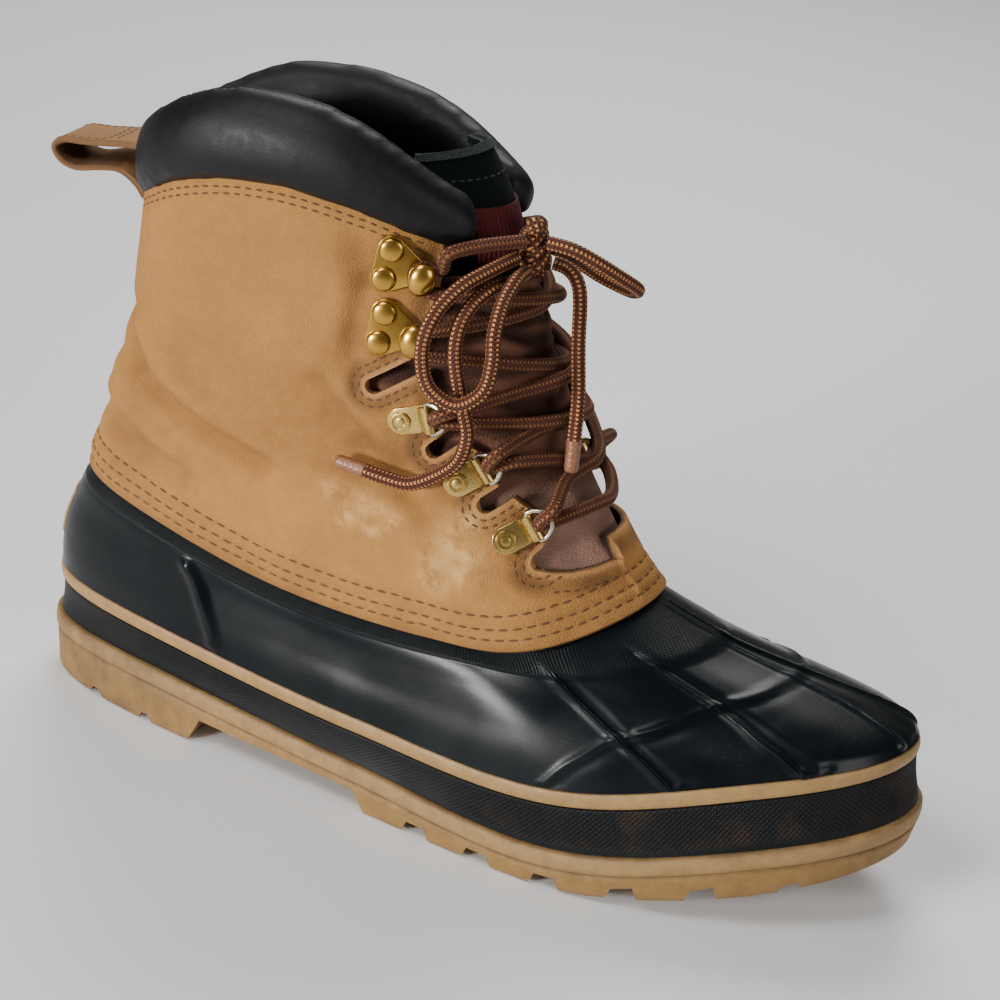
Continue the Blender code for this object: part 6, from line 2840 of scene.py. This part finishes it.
    def crossings(self, look: Material) -> Piece:
        """Two zigzags and the bar at the bottom, as one piece.

        Args:
            look: the lace's finish.

        Returns:
            The laced part.
        """
        stems = [np.array(hook_frame(side, where) @ Vector((HOOK_REACH, 0, 3.0)))
                 for side in Side for where in HOOKS]
        strands = []
        for number, (start, other) in enumerate((SIDES, SIDES[::-1])):
            first = self.through(start, 0)
            route = []
            if number == 0:
                bar = self.through(other, 0)[1]
                route = [bar] + self.over_tongue(bar, first[0], 0.0)
            route += first[1:]
            lift = self.cross_over * (1.0, -0.45)[number]
            for level, side in enumerate((other, start, other, start), 1):
                turn = self.through(side, level)
                route += self.over_tongue(route[-1], turn[0], lift) + turn
            route += [np.array(point, float) for point in self.to_knot[start]]
            path = smooth_route(np.array(route), 1.2)
            near = np.min([np.linalg.norm(path - stem, axis=1) for stem in stems], axis=0)
            radius = self.diameter / 2 * (0.97 - 0.33 * bell(np.maximum(near - 2.5, 0), 2.6))
            strands.append(tube("strand", path, radius, sides=14))
        piece = joined("laced_strands", strands)
        tidy(piece, "lace_cord", look, "lace_crossings")
        return piece


# ---- studio

@dataclass
class Studio:
    """The camera, the floor and soft light."""

    target: tuple = (150.0, 0.0, 100.0)
    azimuth: float = 18.69
    elevation: float = 26.02
    roll: float = 7.25
    distance: float = 896.73
    lens: float = 100.75
    lights: tuple = (           # name, place, aim, size, power, spread
        ("key", (-0.40, -0.70, 1.15), (0.05, 0.0, 0.08), 0.5, 0.95, 60.0),
        ("window", (-0.58, -1.0, 0.26), (0.0, 0.0, 0.06), 0.2, 2.4, 70.0),
        ("top", (-0.25, 0.75, 1.10), (0.0, 0.0, 0.1), 0.7, 13.0, 180.0),
        ("side", (1.1, -0.6, 0.55), (0.05, 0.0, 0.08), 0.5, 4.0, 180.0),
    )

    def axes(self) -> tuple[Array, Array, Array]:
        """Right, up and back of the camera.

        Returns:
            The three directions.
        """
        a, e, r = (math.radians(value) for value in (self.azimuth, self.elevation, self.roll))
        back = np.array((math.sin(a) * math.cos(e), -math.cos(a) * math.cos(e), math.sin(e)))
        right = np.array((math.cos(a), math.sin(a), 0.0))
        up = np.cross(back, right)
        c, s = math.cos(r), math.sin(r)
        return c * right + s * up, c * up - s * right, back

    def camera(self) -> None:
        """The camera at the boot's three-quarter view."""
        right, up, back = self.axes()
        data = bpy.data.cameras.new("camera")
        data.sensor_width = 36.0
        data.lens = self.lens
        data.clip_start, data.clip_end = 0.01, 50.0
        made = bpy.data.objects.new("camera", data)
        turn = Matrix((right, up, back)).transposed().to_4x4()
        spot = place(np.array(self.target) + back * self.distance)
        made.matrix_world = Matrix.Translation(spot) @ turn
        bpy.context.scene.collection.objects.link(made)
        bpy.context.scene.camera = made

    def light(self, name: str, spot: tuple, aim: tuple, size: float, power: float,
              spread: float) -> None:
        """One soft panel of light, in metres, with the spread of its beam in degrees.

        Args:
            name: the light's name.
            spot: where it stands.
            aim: where it points.
            size: length of its side.
            power: watts.
            spread: angle of its beam in degrees.
        """
        data = bpy.data.lights.new(name, "AREA")
        data.spread = math.radians(spread)
        data.shape, data.size, data.energy = "SQUARE", size, power
        made = bpy.data.objects.new(name, data)
        way = Vector(aim) - Vector(spot)
        made.matrix_world = (Matrix.Translation(spot) @ way.to_track_quat("-Z", "Y").to_matrix()
                             .to_4x4())
        bpy.context.scene.collection.objects.link(made)

    def build(self) -> None:
        """Floor, light and backdrop."""
        bm = bmesh.new()
        bmesh.ops.create_grid(bm, x_segments=1, y_segments=1, size=6.0)
        mesh = bpy.data.meshes.new("floor")
        bm.to_mesh(mesh)
        bm.free()
        floor = link("floor", mesh)
        floor.location = (0, 0, -0.0004)
        mesh.materials.append(Finish("floor_paper", (0.86, 0.86, 0.86), 0.9).build())
        world = bpy.data.worlds.new("studio")
        world.use_nodes = True
        backdrop = world.node_tree.nodes["Background"]
        backdrop.inputs[0].default_value = (1.0, 1.0, 1.0, 1)
        backdrop.inputs[1].default_value = 0.16
        bpy.context.scene.world = world
        for light in self.lights:
            self.light(*light)


def main() -> None:
    """Build the boot, the camera first and then the cords."""
    logging.basicConfig(level=logging.INFO, format="%(message)s")
    studio = Studio()
    studio.camera()
    Lace().build()
    Outsole().build()
    Foxing().build()
    RubberShell().build()
    Insole().dress()
    LeatherShaft().build()
    Tongue().build()
    PaddedCollar().build()
    PullLoop().build()
    SpeedHooks().build()
    LaceClips().build()
    studio.build()


if __name__ == "__main__":
    main()
